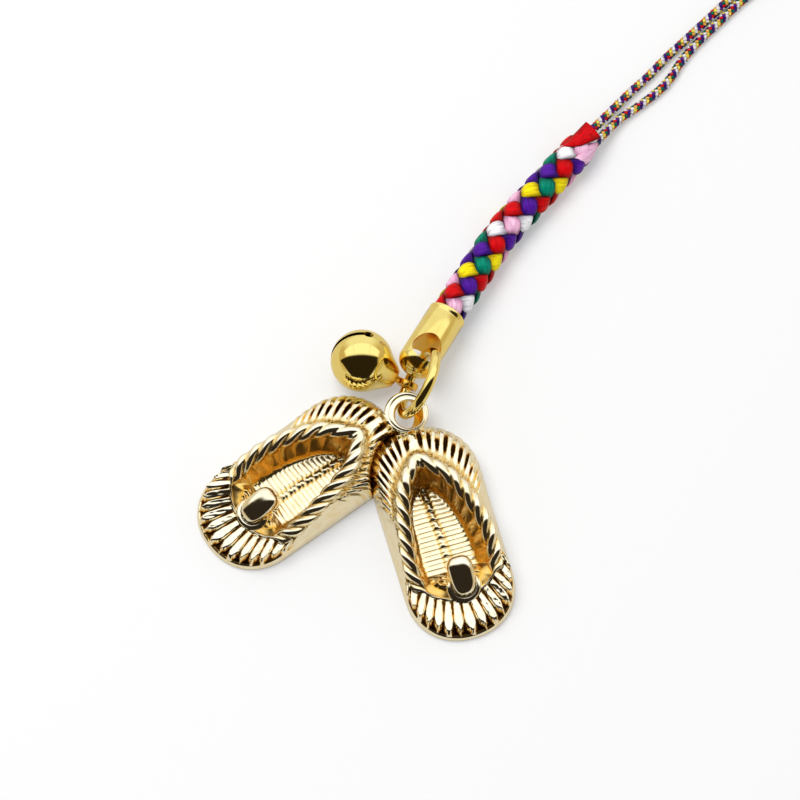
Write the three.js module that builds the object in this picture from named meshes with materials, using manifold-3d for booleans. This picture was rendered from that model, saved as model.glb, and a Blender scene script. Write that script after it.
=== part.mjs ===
// Amulet strap: a folded cord loop, a round braid in a metal end cap, and a jump ring that
// carries a small bell and a cast pair of straw sandals. It lies on a table.
// Millimetres, +Z up, +X to the right and +Y away from the viewer. The origin is on the table,
// under the middle of the right sandal.
import * as THREE from 'three';
import { mergeVertices } from 'three/addons/utils/BufferGeometryUtils.js';
import Module from 'manifold-3d';

const wasm = await Module();
wasm.setup();

// Clearances
const tableGap = 0.05;
const cutOverrun = 1.0;

// Jump ring: it stands on edge, leaning to the right
const ringRadius = 4.2;
const ringWireRadius = 0.65;
const ringSplit = 0.15;
const ringHeading = THREE.MathUtils.degToRad(72);
const ringLean = THREE.MathUtils.degToRad(66);
const ringSplitAngle = THREE.MathUtils.degToRad(240);
const ringSections = 48;
const ringSides = 12;

// End cap: a drawn tube with a domed end and one cross hole for the ring
const capRadius = 2.45;
const capWall = 0.25;
const capLength = 9.6;
const capDomeHeight = 2.0;
const capHoleRadius = 1.85;
const capHoleFromEnd = 3.0;
const capHoleTurn = THREE.MathUtils.degToRad(12.5);
const capHoleLean = THREE.MathUtils.degToRad(9);
const capHeading = THREE.MathUtils.degToRad(60.6);
const capDip = THREE.MathUtils.degToRad(7.2);
const capRingAngle = THREE.MathUtils.degToRad(-12);
const capRingFromEnd = 3.24;
const capRingAside = 0.46;
const capSides = 40;

// Round braid of the strap, as a plain tube
const braidRadius = 2.05;
const braidInCap = 3.0;
const braidSections = 14;
const braidSides = 12;

// Thin cord loop, as a plain tube
const loopRadius = 0.6;
const loopSections = 64;
const loopSides = 8;
const loopHeadGap = 0.3;
const loopHeadAside = 0.55;

// Bell: a spun shell with a tapered neck, a loop on a stem and a pellet inside
const bellRadius = 3.9;
const bellWall = 0.35;
const bellNeckRadius = 1.25;
const bellNeckHeight = 4.75;
const bellNeckHoleRadius = 0.62;
const bellShoulder = THREE.MathUtils.degToRad(42);
const bellSlotWidth = 0.7;
const bellSlotReach = THREE.MathUtils.degToRad(72);
const bellSlotEndRadius = 0.62;
const bellHeading = THREE.MathUtils.degToRad(-21.5);
const bellDip = THREE.MathUtils.degToRad(22.5);
const bellSlotTurn = THREE.MathUtils.degToRad(37);
const bellSides = 40;
const bellArcSteps = 10;
const pelletRadius = 1.1;
const pelletGap = 0.15;

// Bell loop
const eyeGap = 0.2;
const eyeStrip = 0.5;
const eyeWidth = 0.8;
const eyeAboveNeck = 0.5;
const eyeRingAngle = THREE.MathUtils.degToRad(280);
const stemRadius = 0.45;
const stemHeadRadius = 0.85;
const stemHeadThickness = 0.35;
const stemHeadGap = 0.05;

// Sandal casting
const eyeletRadius = 2.75;
const eyeletHoleRadius = 1.85;
const eyeletThickness = 1.2;
const eyeletStep = 0.3;
const eyeletRimWidth = 0.45;
const eyeletMiddle = 3.6;
const eyeletShift = { aside: 0.34, along: 0.13 };
const eyeletHoleShift = 0.2;
const eyeletSides = 36;
const eyeletToHeel = 1.85;
const soleLength = 27.5;
const soleWidth = 13.7;
const soleDraft = 0.25;
const soleLip = 0.45;
const toeEdge = 1.0;
const heelEdge = 3.4;
const toeSquareShare = 0.92;
const heelSquareShare = 0.77;
const ropeRadius = 0.95;
const ropeHeelHeight = 6.8;
const ropeToeHeight = 2.2;
const ropeDropShare = 2.2;
const wellFloor = 1.4;
const heelLean = 0.7;
const knobReach = 6.4;
const knobHeight = 3.1;
const knobHalf = { along: 2.4, across: 1.7, up: 1.9 };
const knobTilt = THREE.MathUtils.degToRad(20);
const collarReach = 7.8;
const collarRadius = 2.1;
const collarTop = 2.5;
const sandalSteps = 60;
const knobSteps = 20;
const sandals = [
  { heading: THREE.MathUtils.degToRad(286.5), aside: 0.05, inner: -1 },
  { heading: THREE.MathUtils.degToRad(216.2), aside: -1.23, inner: 1 },
];

// Half outlines of the rope's centre line and of the well's floor, from the toe to the heel, as
// shares of the sole's half length and half width
const ropeHalfShares = [
  [0.647, 0],
  [0.611, 0.35],
  [0.524, 0.628],
  [0.393, 0.752],
  [0.218, 0.766],
  [0, 0.708],
  [-0.218, 0.584],
  [-0.4, 0.431],
  [-0.538, 0.197],
  [-0.618, 0],
];
const wellHalfShares = [
  [0.567, 0],
  [0.531, 0.277],
  [0.436, 0.438],
  [0.262, 0.482],
  [0, 0.46],
  [-0.145, 0.423],
  [-0.313, 0.321],
  [-0.407, 0.175],
  [-0.465, 0],
];

// Centre line of the braid beyond the cap, from the jump ring's side to the head, measured from
// the cap's mouth
const braidRoute = [
  [3.7, 6.25, -0.8],
  [7.4, 12.0, -1.28],
  [11.8, 17.25, -1.36],
  [15.5, 21.5, -1.36],
  [18.1, 24.9, -1.36],
];

// Centre line of the thin cord, out along the left strand and back along the right one, measured
// from the middle of the braid's head
const loopRoute = [
  [1.35, 1.95, -0.5],
  [2.75, 3.65, -1.1],
  [5.0, 6.2, -1.55],
  [7.65, 8.8, -1.62],
  [10.35, 11.75, -1.62],
  [13.1, 14.45, -1.62],
  [15.75, 17.1, -1.62],
  [20.2, 21.5, -1.62],
  [24.8, 26.1, -1.62],
  [29.3, 30.6, -1.62],
  [33.8, 34.9, -1.62],
  [38.0, 38.0, -1.62],
  [41.2, 38.7, -1.62],
  [43.0, 36.9, -1.62],
  [42.3, 34.2, -1.62],
  [39.4, 31.6, -1.62],
  [35.4, 29.2, -1.62],
  [30.6, 26.8, -1.62],
  [25.7, 23.9, -1.62],
  [21.0, 20.4, -1.62],
  [16.65, 16.2, -1.62],
  [14.05, 13.5, -1.62],
  [12.9, 12.15, -1.62],
  [11.75, 10.6, -1.62],
  [10.75, 8.9, -1.62],
  [9.6, 7.45, -1.62],
  [8.1, 6.05, -1.62],
  [6.3, 4.6, -1.55],
  [4.25, 3.05, -1.3],
  [2.7, 1.4, -0.8],
];

const up = new THREE.Vector3(0, 0, 1);
const ropeHalf = halfOutline(ropeHalfShares);
const wellHalf = halfOutline(wellHalfShares);

function material(name, color, roughness, metalness) {
  return new THREE.MeshStandardMaterial({ name, color, roughness, metalness });
}

const thinCordFinish = material('thin_cord', 0x6a4a86, 0.6, 0);
const braidFinish = material('braid', 0xd1121c, 0.4, 0);
const yellowGold = material('yellow_gold', 0xf2c14a, 0.12, 1);
const bellGold = material('bell_gold', 0xf0b93c, 0.1, 1);
const steel = material('pellet_steel', 0x9a9a9c, 0.3, 1);
const paleGold = material('pale_gold', 0xe6cf9c, 0.18, 1);

// A closed body from a geometry: shared corners are merged and empty triangles dropped
function closed(geometry) {
  const bare = geometry.index ? geometry.clone() : mergeVertices(geometry.clone());
  bare.deleteAttribute('normal');
  bare.deleteAttribute('uv');
  const merged = mergeVertices(bare);
  const index = merged.index.array;
  const kept = [];
  for (let i = 0; i < index.length; i += 3) {
    const [a, b, c] = [index[i], index[i + 1], index[i + 2]];
    if (a !== b && b !== c && c !== a) kept.push(a, b, c);
  }
  merged.setIndex(kept);
  return merged;
}

function toSolid(geometry) {
  const body = closed(geometry);
  const vertProperties = new Float32Array(body.attributes.position.array);
  const triVerts = new Uint32Array(body.index.array);
  return new wasm.Manifold(new wasm.Mesh({ numProp: 3, vertProperties, triVerts }));
}

function toGeometry(solid) {
  const { vertProperties, triVerts } = solid.getMesh();
  const geometry = new THREE.BufferGeometry();
  geometry.setAttribute('position', new THREE.BufferAttribute(vertProperties, 3));
  geometry.setIndex(new THREE.BufferAttribute(triVerts, 1));
  geometry.computeVertexNormals();
  return geometry;
}

function named(name, geometry, finish) {
  const mesh = new THREE.Mesh(geometry, finish);
  mesh.name = name;
  return mesh;
}

// Unit vector from a heading about +Z and a dip below the horizon
function direction(heading, dip) {
  const flat = Math.cos(dip);
  return new THREE.Vector3(flat * Math.cos(heading), flat * Math.sin(heading), -Math.sin(dip));
}

// Turn that takes +Y to one axis and keeps +Z as near as it can to another
function turnTo(yAxis, nearZ) {
  const x = new THREE.Vector3().crossVectors(yAxis, nearZ).normalize();
  const z = new THREE.Vector3().crossVectors(x, yAxis).normalize();
  return new THREE.Matrix4().makeBasis(x, yAxis.clone().normalize(), z);
}

function circle(radius, sides) {
  const points = [];
  for (let i = 0; i < sides; i += 1) {
    const angle = (2 * Math.PI * i) / sides;
    points.push(new THREE.Vector2(radius * Math.cos(angle), radius * Math.sin(angle)));
  }
  return new THREE.Shape(points);
}

function tube(path, radius, sides, steps) {
  const settings = { extrudePath: path, steps, bevelEnabled: false, curveSegments: 1 };
  return closed(new THREE.ExtrudeGeometry(circle(radius, sides), settings));
}

// Frame of the ring: along is level, rise leans to the right, both lie in its plane
const ringAlong = direction(ringHeading, 0);
const ringSide = direction(ringHeading - Math.PI / 2, 0);
const ringRise = ringSide.clone().multiplyScalar(Math.cos(ringLean));
ringRise.addScaledVector(up, Math.sin(ringLean));

// The lowest part of the ring hangs in the bell's eye, which stands on the table
const eyeHoleRadius = ringWireRadius + eyeGap;
const eyeRadius = eyeHoleRadius + eyeStrip;
const eyeReach = bellNeckHeight + eyeAboveNeck + eyeRadius;
const ringRiseHeight = ringRadius * Math.sin(ringLean);
const eyeTilt = Math.asin(Math.cos(eyeRingAngle) * Math.sin(ringLean));
const eyeDrop = eyeRadius * Math.cos(eyeTilt) + (eyeWidth / 2) * Math.sin(eyeTilt);
const ringCentre = new THREE.Vector3(0, 0, tableGap + eyeDrop - ringRiseHeight * Math.sin(eyeRingAngle));

function ringPoint(angle) {
  const point = ringCentre.clone();
  point.addScaledVector(ringAlong, ringRadius * Math.cos(angle));
  return point.addScaledVector(ringRise, ringRadius * Math.sin(angle));
}

function ringTangent(angle) {
  const tangent = ringAlong.clone().multiplyScalar(-Math.sin(angle));
  return tangent.addScaledVector(ringRise, Math.cos(angle));
}

class RingArc extends THREE.Curve {
  getPoint(share) {
    const half = ringSplit / ringRadius / 2;
    return ringPoint(ringSplitAngle + half + share * (2 * Math.PI - 2 * half));
  }
}

function jumpRing() {
  const geometry = tube(new RingArc(), ringWireRadius, ringSides, ringSections);
  return named('jump_ring', geometry, yellowGold);
}

// End cap, turned so that its mouth looks up the strap
const capAxis = direction(capHeading, capDip);
const capSide = direction(capHeading - Math.PI / 2, 0);
const capEnd = ringPoint(capRingAngle);
capEnd.addScaledVector(capAxis, -capRingFromEnd);
capEnd.addScaledVector(capSide, -capRingAside);
const capHole = capEnd.clone().addScaledVector(capAxis, capHoleFromEnd);
const capUp = new THREE.Vector3().crossVectors(capSide, capAxis);
const capHoleUp = capUp.applyAxisAngle(capAxis, capHoleTurn);
const capHoleAxis = capHoleUp.addScaledVector(capAxis, Math.tan(capHoleLean));
const capMouth = capEnd.clone().addScaledVector(capAxis, capLength);

function endCap() {
  const bore = capRadius - capWall;
  const domeSteps = 6;
  const profile = [];
  for (let i = 0; i <= domeSteps; i += 1) {
    const angle = (Math.PI / 2) * (i / domeSteps);
    profile.push(new THREE.Vector2(capRadius * Math.sin(angle), capDomeHeight * (1 - Math.cos(angle))));
  }
  profile.push(new THREE.Vector2(capRadius, capLength));
  profile.push(new THREE.Vector2(bore, capLength));
  for (let i = domeSteps; i >= 0; i -= 1) {
    const angle = (Math.PI / 2) * (i / domeSteps);
    const height = capWall + (capDomeHeight - capWall) * (1 - Math.cos(angle));
    profile.push(new THREE.Vector2(bore * Math.sin(angle), height));
  }
  const body = new THREE.LatheGeometry(profile, capSides);
  body.applyMatrix4(turnTo(capAxis, up).setPosition(capEnd));
  const length = 2 * (capRadius + cutOverrun);
  const hole = new THREE.CylinderGeometry(capHoleRadius, capHoleRadius, length, capSides);
  hole.applyMatrix4(turnTo(capHoleAxis, capSide).setPosition(capHole));
  return named('end_cap', toGeometry(toSolid(body).subtract(toSolid(hole))), yellowGold);
}

function routeFrom(origin, route) {
  return route.map(([x, y, z]) => new THREE.Vector3(x, y, z).add(origin));
}

const braidPoints = [
  capMouth.clone().addScaledVector(capAxis, -braidInCap),
  capMouth.clone().addScaledVector(capAxis, -braidInCap / 2),
  capMouth.clone(),
  ...routeFrom(capMouth, braidRoute),
];
const braidHead = braidPoints[braidPoints.length - 1];

function braidCord() {
  const path = new THREE.CatmullRomCurve3(braidPoints);
  return named('braid_cord', tube(path, braidRadius, braidSides, braidSections), braidFinish);
}

function loopCord() {
  const neck = braidPoints[braidPoints.length - 2];
  const out = braidHead.clone().sub(neck).normalize();
  const side = new THREE.Vector3().crossVectors(out, up).normalize();
  const strandSpace = loopRadius + loopHeadGap / 2;
  const start = braidHead.clone().addScaledVector(out, loopHeadGap);
  const first = start.clone().addScaledVector(side, loopHeadAside - strandSpace);
  const last = start.clone().addScaledVector(side, loopHeadAside + strandSpace);
  const path = new THREE.CatmullRomCurve3([first, ...routeFrom(braidHead, loopRoute), last]);
  return named('loop_cord', tube(path, loopRadius, loopSides, loopSections), thinCordFinish);
}

// Bell: its own axis runs from the slot to the eye
const bellAxis = direction(bellHeading, bellDip);
const eyeCentre = ringPoint(eyeRingAngle);
const bellCentre = eyeCentre.clone().addScaledVector(bellAxis, -eyeReach);
const eyeNormal = ringTangent(eyeRingAngle);

function bellBody() {
  const inner = bellRadius - bellWall;
  const profile = [];
  for (let i = 0; i <= bellArcSteps; i += 1) {
    const angle = -Math.PI / 2 + (bellShoulder + Math.PI / 2) * (i / bellArcSteps);
    profile.push(new THREE.Vector2(bellRadius * Math.cos(angle), bellRadius * Math.sin(angle)));
  }
  profile.push(new THREE.Vector2(bellNeckRadius, bellNeckHeight));
  profile.push(new THREE.Vector2(bellNeckHoleRadius, bellNeckHeight));
  profile.push(new THREE.Vector2(bellNeckHoleRadius, bellNeckHeight - bellWall));
  profile.push(new THREE.Vector2(bellNeckRadius - bellWall / 2, bellNeckHeight - bellWall));
  for (let i = bellArcSteps; i >= 0; i -= 1) {
    const angle = -Math.PI / 2 + (bellShoulder + Math.PI / 2) * (i / bellArcSteps);
    profile.push(new THREE.Vector2(inner * Math.cos(angle), inner * Math.sin(angle)));
  }
  profile[0].x = 0;
  profile[profile.length - 1].x = 0;
  let shell = toSolid(new THREE.LatheGeometry(profile, bellSides));
  const slotDepth = bellRadius * (1 - Math.cos(bellSlotReach)) + cutOverrun;
  const slotSpan = 2 * bellRadius * Math.sin(bellSlotReach);
  const slot = new THREE.BoxGeometry(bellSlotWidth, slotDepth, slotSpan);
  slot.translate(0, slotDepth / 2 - bellRadius - cutOverrun, 0);
  shell = shell.subtract(toSolid(slot));
  for (const side of [-1, 1]) {
    const endDepth = 2 * cutOverrun;
    const end = new THREE.CylinderGeometry(bellSlotEndRadius, bellSlotEndRadius, endDepth, bellArcSteps);
    end.translate(0, -bellRadius, 0);
    end.rotateX(side * bellSlotReach);
    shell = shell.subtract(toSolid(end));
  }
  const body = toGeometry(shell);
  body.rotateY(bellSlotTurn);
  body.applyMatrix4(turnTo(bellAxis, eyeNormal).setPosition(bellCentre));
  return named('bell_body', body, bellGold);
}

function bellLoop() {
  const profile = [
    new THREE.Vector2(eyeHoleRadius, -eyeWidth / 2),
    new THREE.Vector2(eyeRadius, -eyeWidth / 2),
    new THREE.Vector2(eyeRadius, eyeWidth / 2),
    new THREE.Vector2(eyeHoleRadius, eyeWidth / 2),
    new THREE.Vector2(eyeHoleRadius, -eyeWidth / 2),
  ];
  const eye = new THREE.LatheGeometry(profile, bellSides);
  eye.rotateX(Math.PI / 2);
  eye.translate(0, eyeReach, 0);
  const headTop = bellNeckHeight - bellWall - stemHeadGap;
  const stemTop = eyeReach - eyeRadius + eyeStrip / 2;
  const stemLength = stemTop - headTop + stemHeadThickness / 2;
  const stem = new THREE.CylinderGeometry(stemRadius, stemRadius, stemLength, ringSides);
  stem.translate(0, stemTop - stemLength / 2, 0);
  const headSides = 2 * bellArcSteps;
  const head = new THREE.CylinderGeometry(stemHeadRadius, stemHeadRadius, stemHeadThickness, headSides);
  head.translate(0, headTop - stemHeadThickness / 2, 0);
  const body = toGeometry(toSolid(eye).add(toSolid(stem)).add(toSolid(head)));
  body.applyMatrix4(turnTo(bellAxis, eyeNormal).setPosition(bellCentre));
  return named('bell_loop', body, bellGold);
}

function bellPellet() {
  const geometry = closed(new THREE.SphereGeometry(pelletRadius, ringSides, bellArcSteps));
  const drop = bellRadius - bellWall - pelletRadius - pelletGap;
  geometry.translate(bellCentre.x, bellCentre.y, bellCentre.z - drop);
  return named('bell_pellet', geometry, steel);
}

// Sandal casting: the ring goes down through the eyelet at the height where it is cast
const eyeletAngle = Math.PI + Math.asin((ringCentre.z - eyeletMiddle) / ringRiseHeight);
const eyeletCentre = ringPoint(eyeletAngle);
eyeletCentre.addScaledVector(ringSide, eyeletShift.aside);
eyeletCentre.addScaledVector(ringAlong, eyeletShift.along);

// Point of one quarter of the sole's outline: round at a power of one and squarer below it
function cornerPoint(middle, radius, angle, power) {
  const [c, s] = [Math.cos(angle), Math.sin(angle)];
  const x = Math.sign(c) * Math.abs(c) ** power;
  const y = Math.sign(s) * Math.abs(s) ** power;
  return new THREE.Vector2(middle + radius * x, radius * y);
}

// Point of the sole's outline: straight sides, a round toe and a heel that is squarer on the
// inner side. The toe looks along +X.
function solePoint(share, inset, inner) {
  const radius = soleWidth / 2;
  const straight = (soleLength - soleWidth) / 2;
  const arc = (Math.PI * radius) / 2;
  const side = radius - inset;
  const heel = (sign) => (sign === inner ? heelSquareShare : 1);
  const angle = (turn) => (turn * Math.PI) / 2;
  const quarter = (middle, turn, power) => (t) => cornerPoint(middle, side, angle(turn + t), power);
  const legs = [
    [arc, quarter(straight, 0, toeSquareShare)],
    [2 * straight, (t) => new THREE.Vector2(straight - 2 * straight * t, side)],
    [arc, quarter(-straight, 1, heel(1))],
    [arc, quarter(-straight, 2, heel(-1))],
    [2 * straight, (t) => new THREE.Vector2(2 * straight * t - straight, -side)],
    [arc, quarter(straight, 3, toeSquareShare)],
  ];
  let run = share * (4 * arc + 4 * straight);
  for (const [length, place] of legs) {
    if (run <= length) return place(run / length);
    run -= length;
  }
  return cornerPoint(straight, side, 0, toeSquareShare);
}

function halfOutline(shares) {
  return shares.map(([along, across]) => [(along * soleLength) / 2, (across * soleWidth) / 2]);
}

// Closed curve from a half outline. Its heel leans to the inner side.
function mirrored(half, inner) {
  const heel = half[half.length - 1][0];
  const back = half.slice(1, -1).reverse().map(([along, across]) => [along, -across]);
  const points = [...half, ...back].map(([along, across]) => {
    const lean = inner * heelLean * Math.max(along / heel, 0);
    return new THREE.Vector3(along, across + lean, 0);
  });
  const curve = new THREE.CatmullRomCurve3(points, true, 'centripetal');
  curve.arcLengthDivisions = 10 * sandalSteps;
  return curve;
}

function ropeHeight(along) {
  const toe = ropeHalf[0][0];
  const heel = ropeHalf[ropeHalf.length - 1][0];
  const share = THREE.MathUtils.clamp((along - heel) / (toe - heel), 0, 1);
  return ropeHeelHeight - (ropeHeelHeight - ropeToeHeight) * share ** ropeDropShare;
}

function edgeHeight(along) {
  return THREE.MathUtils.mapLinear(along, -soleLength / 2, soleLength / 2, heelEdge, toeEdge);
}

// Rows of the sandal from the middle of its sole, over its edge and the rope, to the well's floor
function sandalRows(inner) {
  const ropeCurve = mirrored(ropeHalf, inner);
  const wellCurve = mirrored(wellHalf, inner);
  const sole = (inset, height) => (share) => {
    const point = solePoint(share, inset, inner);
    return new THREE.Vector3(point.x, point.y, height(point.x));
  };
  const rope = (turn) => (share) => {
    const point = ropeCurve.getPointAt(share);
    const tangent = ropeCurve.getTangentAt(share);
    const outset = ropeRadius * Math.cos(turn);
    const height = ropeHeight(point.x) - ropeRadius + ropeRadius * Math.sin(turn);
    return new THREE.Vector3(point.x + outset * tangent.y, point.y - outset * tangent.x, height);
  };
  const turns = [0, 0.25, 0.5, 0.75, 1].map((share) => share * Math.PI);
  return [
    () => new THREE.Vector3(0, 0, 0),
    sole(soleDraft, () => 0),
    sole(0, () => soleLip),
    sole(soleDraft, edgeHeight),
    ...turns.map(rope),
    (share) => wellCurve.getPointAt(share).setZ(wellFloor),
    () => new THREE.Vector3(0, 0, wellFloor),
  ];
}

function sandal(inner) {
  const rows = sandalRows(inner);
  const profile = rows.map((row, index) => new THREE.Vector2(index, index));
  const shape = new THREE.LatheGeometry(profile, sandalSteps);
  const place = shape.attributes.position;
  for (let step = 0; step <= sandalSteps; step += 1) {
    for (let row = 0; row < rows.length; row += 1) {
      const point = rows[row]((step % sandalSteps) / sandalSteps);
      place.setXYZ(step * rows.length + row, point.x, point.y, point.z);
    }
  }
  const knob = new THREE.SphereGeometry(knobHalf.along, knobSteps, knobSteps / 2);
  knob.scale(1, knobHalf.across / knobHalf.along, knobHalf.up / knobHalf.along);
  knob.rotateY(knobTilt);
  knob.translate(knobReach, 0, knobHeight);
  const collar = new THREE.CylinderGeometry(collarRadius, collarRadius, collarTop - soleLip, knobSteps);
  collar.rotateX(Math.PI / 2);
  collar.translate(collarReach, 0, (collarTop + soleLip) / 2);
  return outward(shape).add(toSolid(knob)).add(toSolid(collar));
}

// A solid with its faces out, whichever way round its rows were drawn
function outward(geometry) {
  const body = closed(geometry);
  const corners = [0, 1, 2].map(() => new THREE.Vector3());
  let volume = 0;
  for (let i = 0; i < body.index.count; i += 3) {
    const { position } = body.attributes;
    corners.forEach((corner, k) => corner.fromBufferAttribute(position, body.index.getX(i + k)));
    volume += corners[0].dot(new THREE.Vector3().crossVectors(corners[1], corners[2]));
  }
  if (volume < 0) {
    const index = body.index.array;
    for (let i = 0; i < index.length; i += 3) [index[i], index[i + 1]] = [index[i + 1], index[i]];
  }
  return toSolid(body);
}

function sandalMiddle({ heading, aside }) {
  const toe = direction(heading, 0);
  const left = direction(heading + Math.PI / 2, 0);
  const reach = eyeletToHeel + soleLength / 2;
  return eyeletCentre.clone().addScaledVector(toe, reach).addScaledVector(left, aside).setZ(0);
}

function eyelet() {
  const half = eyeletThickness / 2;
  const rim = eyeletHoleRadius + eyeletRimWidth;
  const profile = [
    new THREE.Vector2(0, -half),
    new THREE.Vector2(eyeletRadius, -half),
    new THREE.Vector2(eyeletRadius, half - eyeletStep),
    new THREE.Vector2(rim, half - eyeletStep),
    new THREE.Vector2(rim, half),
    new THREE.Vector2(0, half),
  ];
  const ring = new THREE.LatheGeometry(profile, eyeletSides);
  ring.rotateX(Math.PI / 2);
  ring.translate(eyeletCentre.x, eyeletCentre.y, eyeletMiddle);
  const bore = new THREE.CylinderGeometry(eyeletHoleRadius, eyeletHoleRadius, 2 * heelEdge, eyeletSides);
  bore.rotateX(Math.PI / 2);
  bore.translate(eyeletCentre.x + eyeletHoleShift, eyeletCentre.y, eyeletMiddle);
  return { ring: toSolid(ring), bore: toSolid(bore) };
}

function sandalCharm() {
  const { ring, bore } = eyelet();
  let casting = ring;
  for (const side of sandals) {
    const turn = new THREE.Matrix4().makeRotationZ(side.heading).setPosition(sandalMiddle(side));
    casting = casting.add(sandal(side.inner).transform(turn.elements));
  }
  return named('sandal_charm', toGeometry(casting.subtract(bore)), paleGold);
}

const strap = new THREE.Group();
strap.add(loopCord(), braidCord(), endCap(), jumpRing(), bellBody(), bellLoop(), bellPellet(), sandalCharm());
const origin = sandalMiddle(sandals[0]);
strap.position.set(-origin.x, -origin.y, 0);
const model = new THREE.Group();
model.add(strap);

export default model;
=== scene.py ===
"""Amulet strap: a thin cord loop, a satin braid in a gold end cap, and a ring with a bell and sandals."""

import math

import bpy
import numpy as np
from bpy.props import FloatProperty, FloatVectorProperty, IntProperty, PointerProperty
from mathutils import Matrix, Vector


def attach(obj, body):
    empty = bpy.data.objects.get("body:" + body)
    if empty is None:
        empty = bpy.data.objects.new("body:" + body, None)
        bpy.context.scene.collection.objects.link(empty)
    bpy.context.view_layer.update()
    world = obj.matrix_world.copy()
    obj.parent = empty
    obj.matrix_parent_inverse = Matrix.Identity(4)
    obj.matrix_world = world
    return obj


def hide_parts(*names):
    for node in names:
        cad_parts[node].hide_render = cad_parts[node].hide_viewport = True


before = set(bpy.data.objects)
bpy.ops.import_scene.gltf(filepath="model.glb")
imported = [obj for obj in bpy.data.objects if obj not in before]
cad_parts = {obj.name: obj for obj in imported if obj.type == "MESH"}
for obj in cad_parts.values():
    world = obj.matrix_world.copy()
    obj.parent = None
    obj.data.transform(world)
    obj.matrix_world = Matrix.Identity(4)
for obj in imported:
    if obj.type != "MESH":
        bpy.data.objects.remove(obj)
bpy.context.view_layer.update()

bl_info = {
    "name": "Amulet strap",
    "version": (1, 0, 0),
    "blender": (4, 5, 0),
    "location": "View3D > Sidebar > Strap",
    "description": "Builds the looks of an amulet strap round its packed solids",
    "category": "Object",
}

MM = 0.001

# Camera: it looks at the strap from a steep angle, from the front
VIEW_TARGET = Vector((-5.278, 18.02, 0)) * MM
VIEW_ELEVATION = math.radians(70)
VIEW_DISTANCE = 0.6
VIEW_SENSOR = 36
VIEW_LENS = 216
TO_VIEWER = Vector((0, -math.cos(VIEW_ELEVATION), math.sin(VIEW_ELEVATION)))

# Places of the pieces, in millimetres
RING_CENTRE = (-2.978, 18.320, 5.225)
RING_ALONG = Vector((0.30902, 0.95106, 0))
RING_RISE = Vector((0.38683, -0.12569, 0.91355))
CAP_END = (-4.025, 19.762, 4.833)
CAP_AXIS = Vector((0.48703, 0.86434, -0.12533))
CAP_HOLE_AXIS = Vector((0.32176, 0.13556, 0.93707))
BELL_CENTRE = (-10.026, 21.768, 3.972)
BELL_AXIS = Vector((0.85959, -0.3386, -0.38268))
EYE_NORMAL = Vector((0.37149, 0.91478, 0.15864))
EYELET_CENTRE = (-4.479, 14.943, 3.6)

# Centre line of the braid, from inside the cap to its head
BRAID_ROUTE = [
    (-0.811, 25.467, 4.006),
    (-0.081, 26.763, 3.818),
    (0.650, 28.060, 3.630),
    (4.350, 34.310, 2.830),
    (8.050, 40.060, 2.350),
    (12.450, 45.310, 2.270),
    (16.150, 49.560, 2.270),
    (18.750, 52.960, 2.270),
]
BRAID_IN_CAP = 3.0

# Centre line of the thin cord: out along the left run, round the far bend and back
LOOP_ROUTE = [
    (18.77, 53.32, 2.27),
    (20.10, 54.91, 1.77),
    (21.50, 56.61, 1.17),
    (23.75, 59.16, 0.72),
    (26.40, 61.76, 0.65),
    (29.10, 64.71, 0.65),
    (31.85, 67.41, 0.65),
    (34.50, 70.06, 0.65),
    (38.95, 74.46, 0.65),
    (43.55, 79.06, 0.65),
    (48.05, 83.56, 0.65),
    (52.55, 87.86, 0.65),
    (56.75, 90.96, 0.65),
    (59.95, 91.66, 0.65),
    (61.75, 89.86, 0.65),
    (61.05, 87.16, 0.65),
    (58.15, 84.56, 0.65),
    (54.15, 82.16, 0.65),
    (49.35, 79.76, 0.65),
    (44.45, 76.86, 0.65),
    (39.75, 73.36, 0.65),
    (35.40, 69.16, 0.65),
    (32.80, 66.46, 0.65),
    (31.65, 65.11, 0.65),
    (30.50, 63.56, 0.65),
    (29.50, 61.86, 0.65),
    (28.35, 60.41, 0.65),
    (26.85, 59.01, 0.65),
    (25.05, 57.56, 0.72),
    (23.00, 56.01, 0.97),
    (21.45, 54.36, 1.47),
    (19.97, 52.41, 2.27),
]

# Half outlines of the rope's centre line and of the well's floor, from the toe to the heel:
# distance along the sandal and half width
ROPE_HALF = [
    (8.9, 0), (8.4, 2.4), (7.2, 4.3), (5.4, 5.15), (3, 5.25),
    (0, 4.85), (-3, 4.0), (-5.5, 2.95), (-7.4, 1.35), (-8.5, 0),
]
WELL_HALF = [
    (7.8, 0), (7.3, 1.9), (6, 3.0), (3.6, 3.3), (0, 3.15),
    (-2, 2.9), (-4.3, 2.2), (-5.6, 1.2), (-6.4, 0),
]


def size(name, text, millimetres):
    return FloatProperty(name=name, description=text, default=millimetres * MM, unit="LENGTH", precision=5)


def tone(name, text, colour):
    return FloatVectorProperty(name=name, description=text, default=colour, subtype="COLOR", min=0, max=1)


def count(name, text, number):
    return IntProperty(name=name, description=text, default=number)


class CordSettings(bpy.types.PropertyGroup):
    thin_diameter: size("Thin cord", "Thickness of the thin braided cord", 1.2)
    thin_pitch: size("Thin cord pitch", "Length in which a thread goes once round the thin cord", 2.05)
    braid_diameter: size("Braid", "Thickness of the satin braid over its strands", 4.5)
    braid_pitch: size("Braid pitch", "Length in which a strand goes once round the braid", 13.83)
    red: tone("Red", "Red satin", (0.52, 0.001, 0.003))
    purple: tone("Purple", "Purple satin", (0.055, 0.006, 0.22))
    green: tone("Green", "Green satin", (0.0, 0.17, 0.1))
    yellow: tone("Yellow", "Yellow satin", (0.92, 0.7, 0.004))
    white: tone("White", "White satin", (0.9, 0.9, 0.92))
    pink: tone("Pink", "Pink satin", (0.9, 0.42, 0.62))


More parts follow.
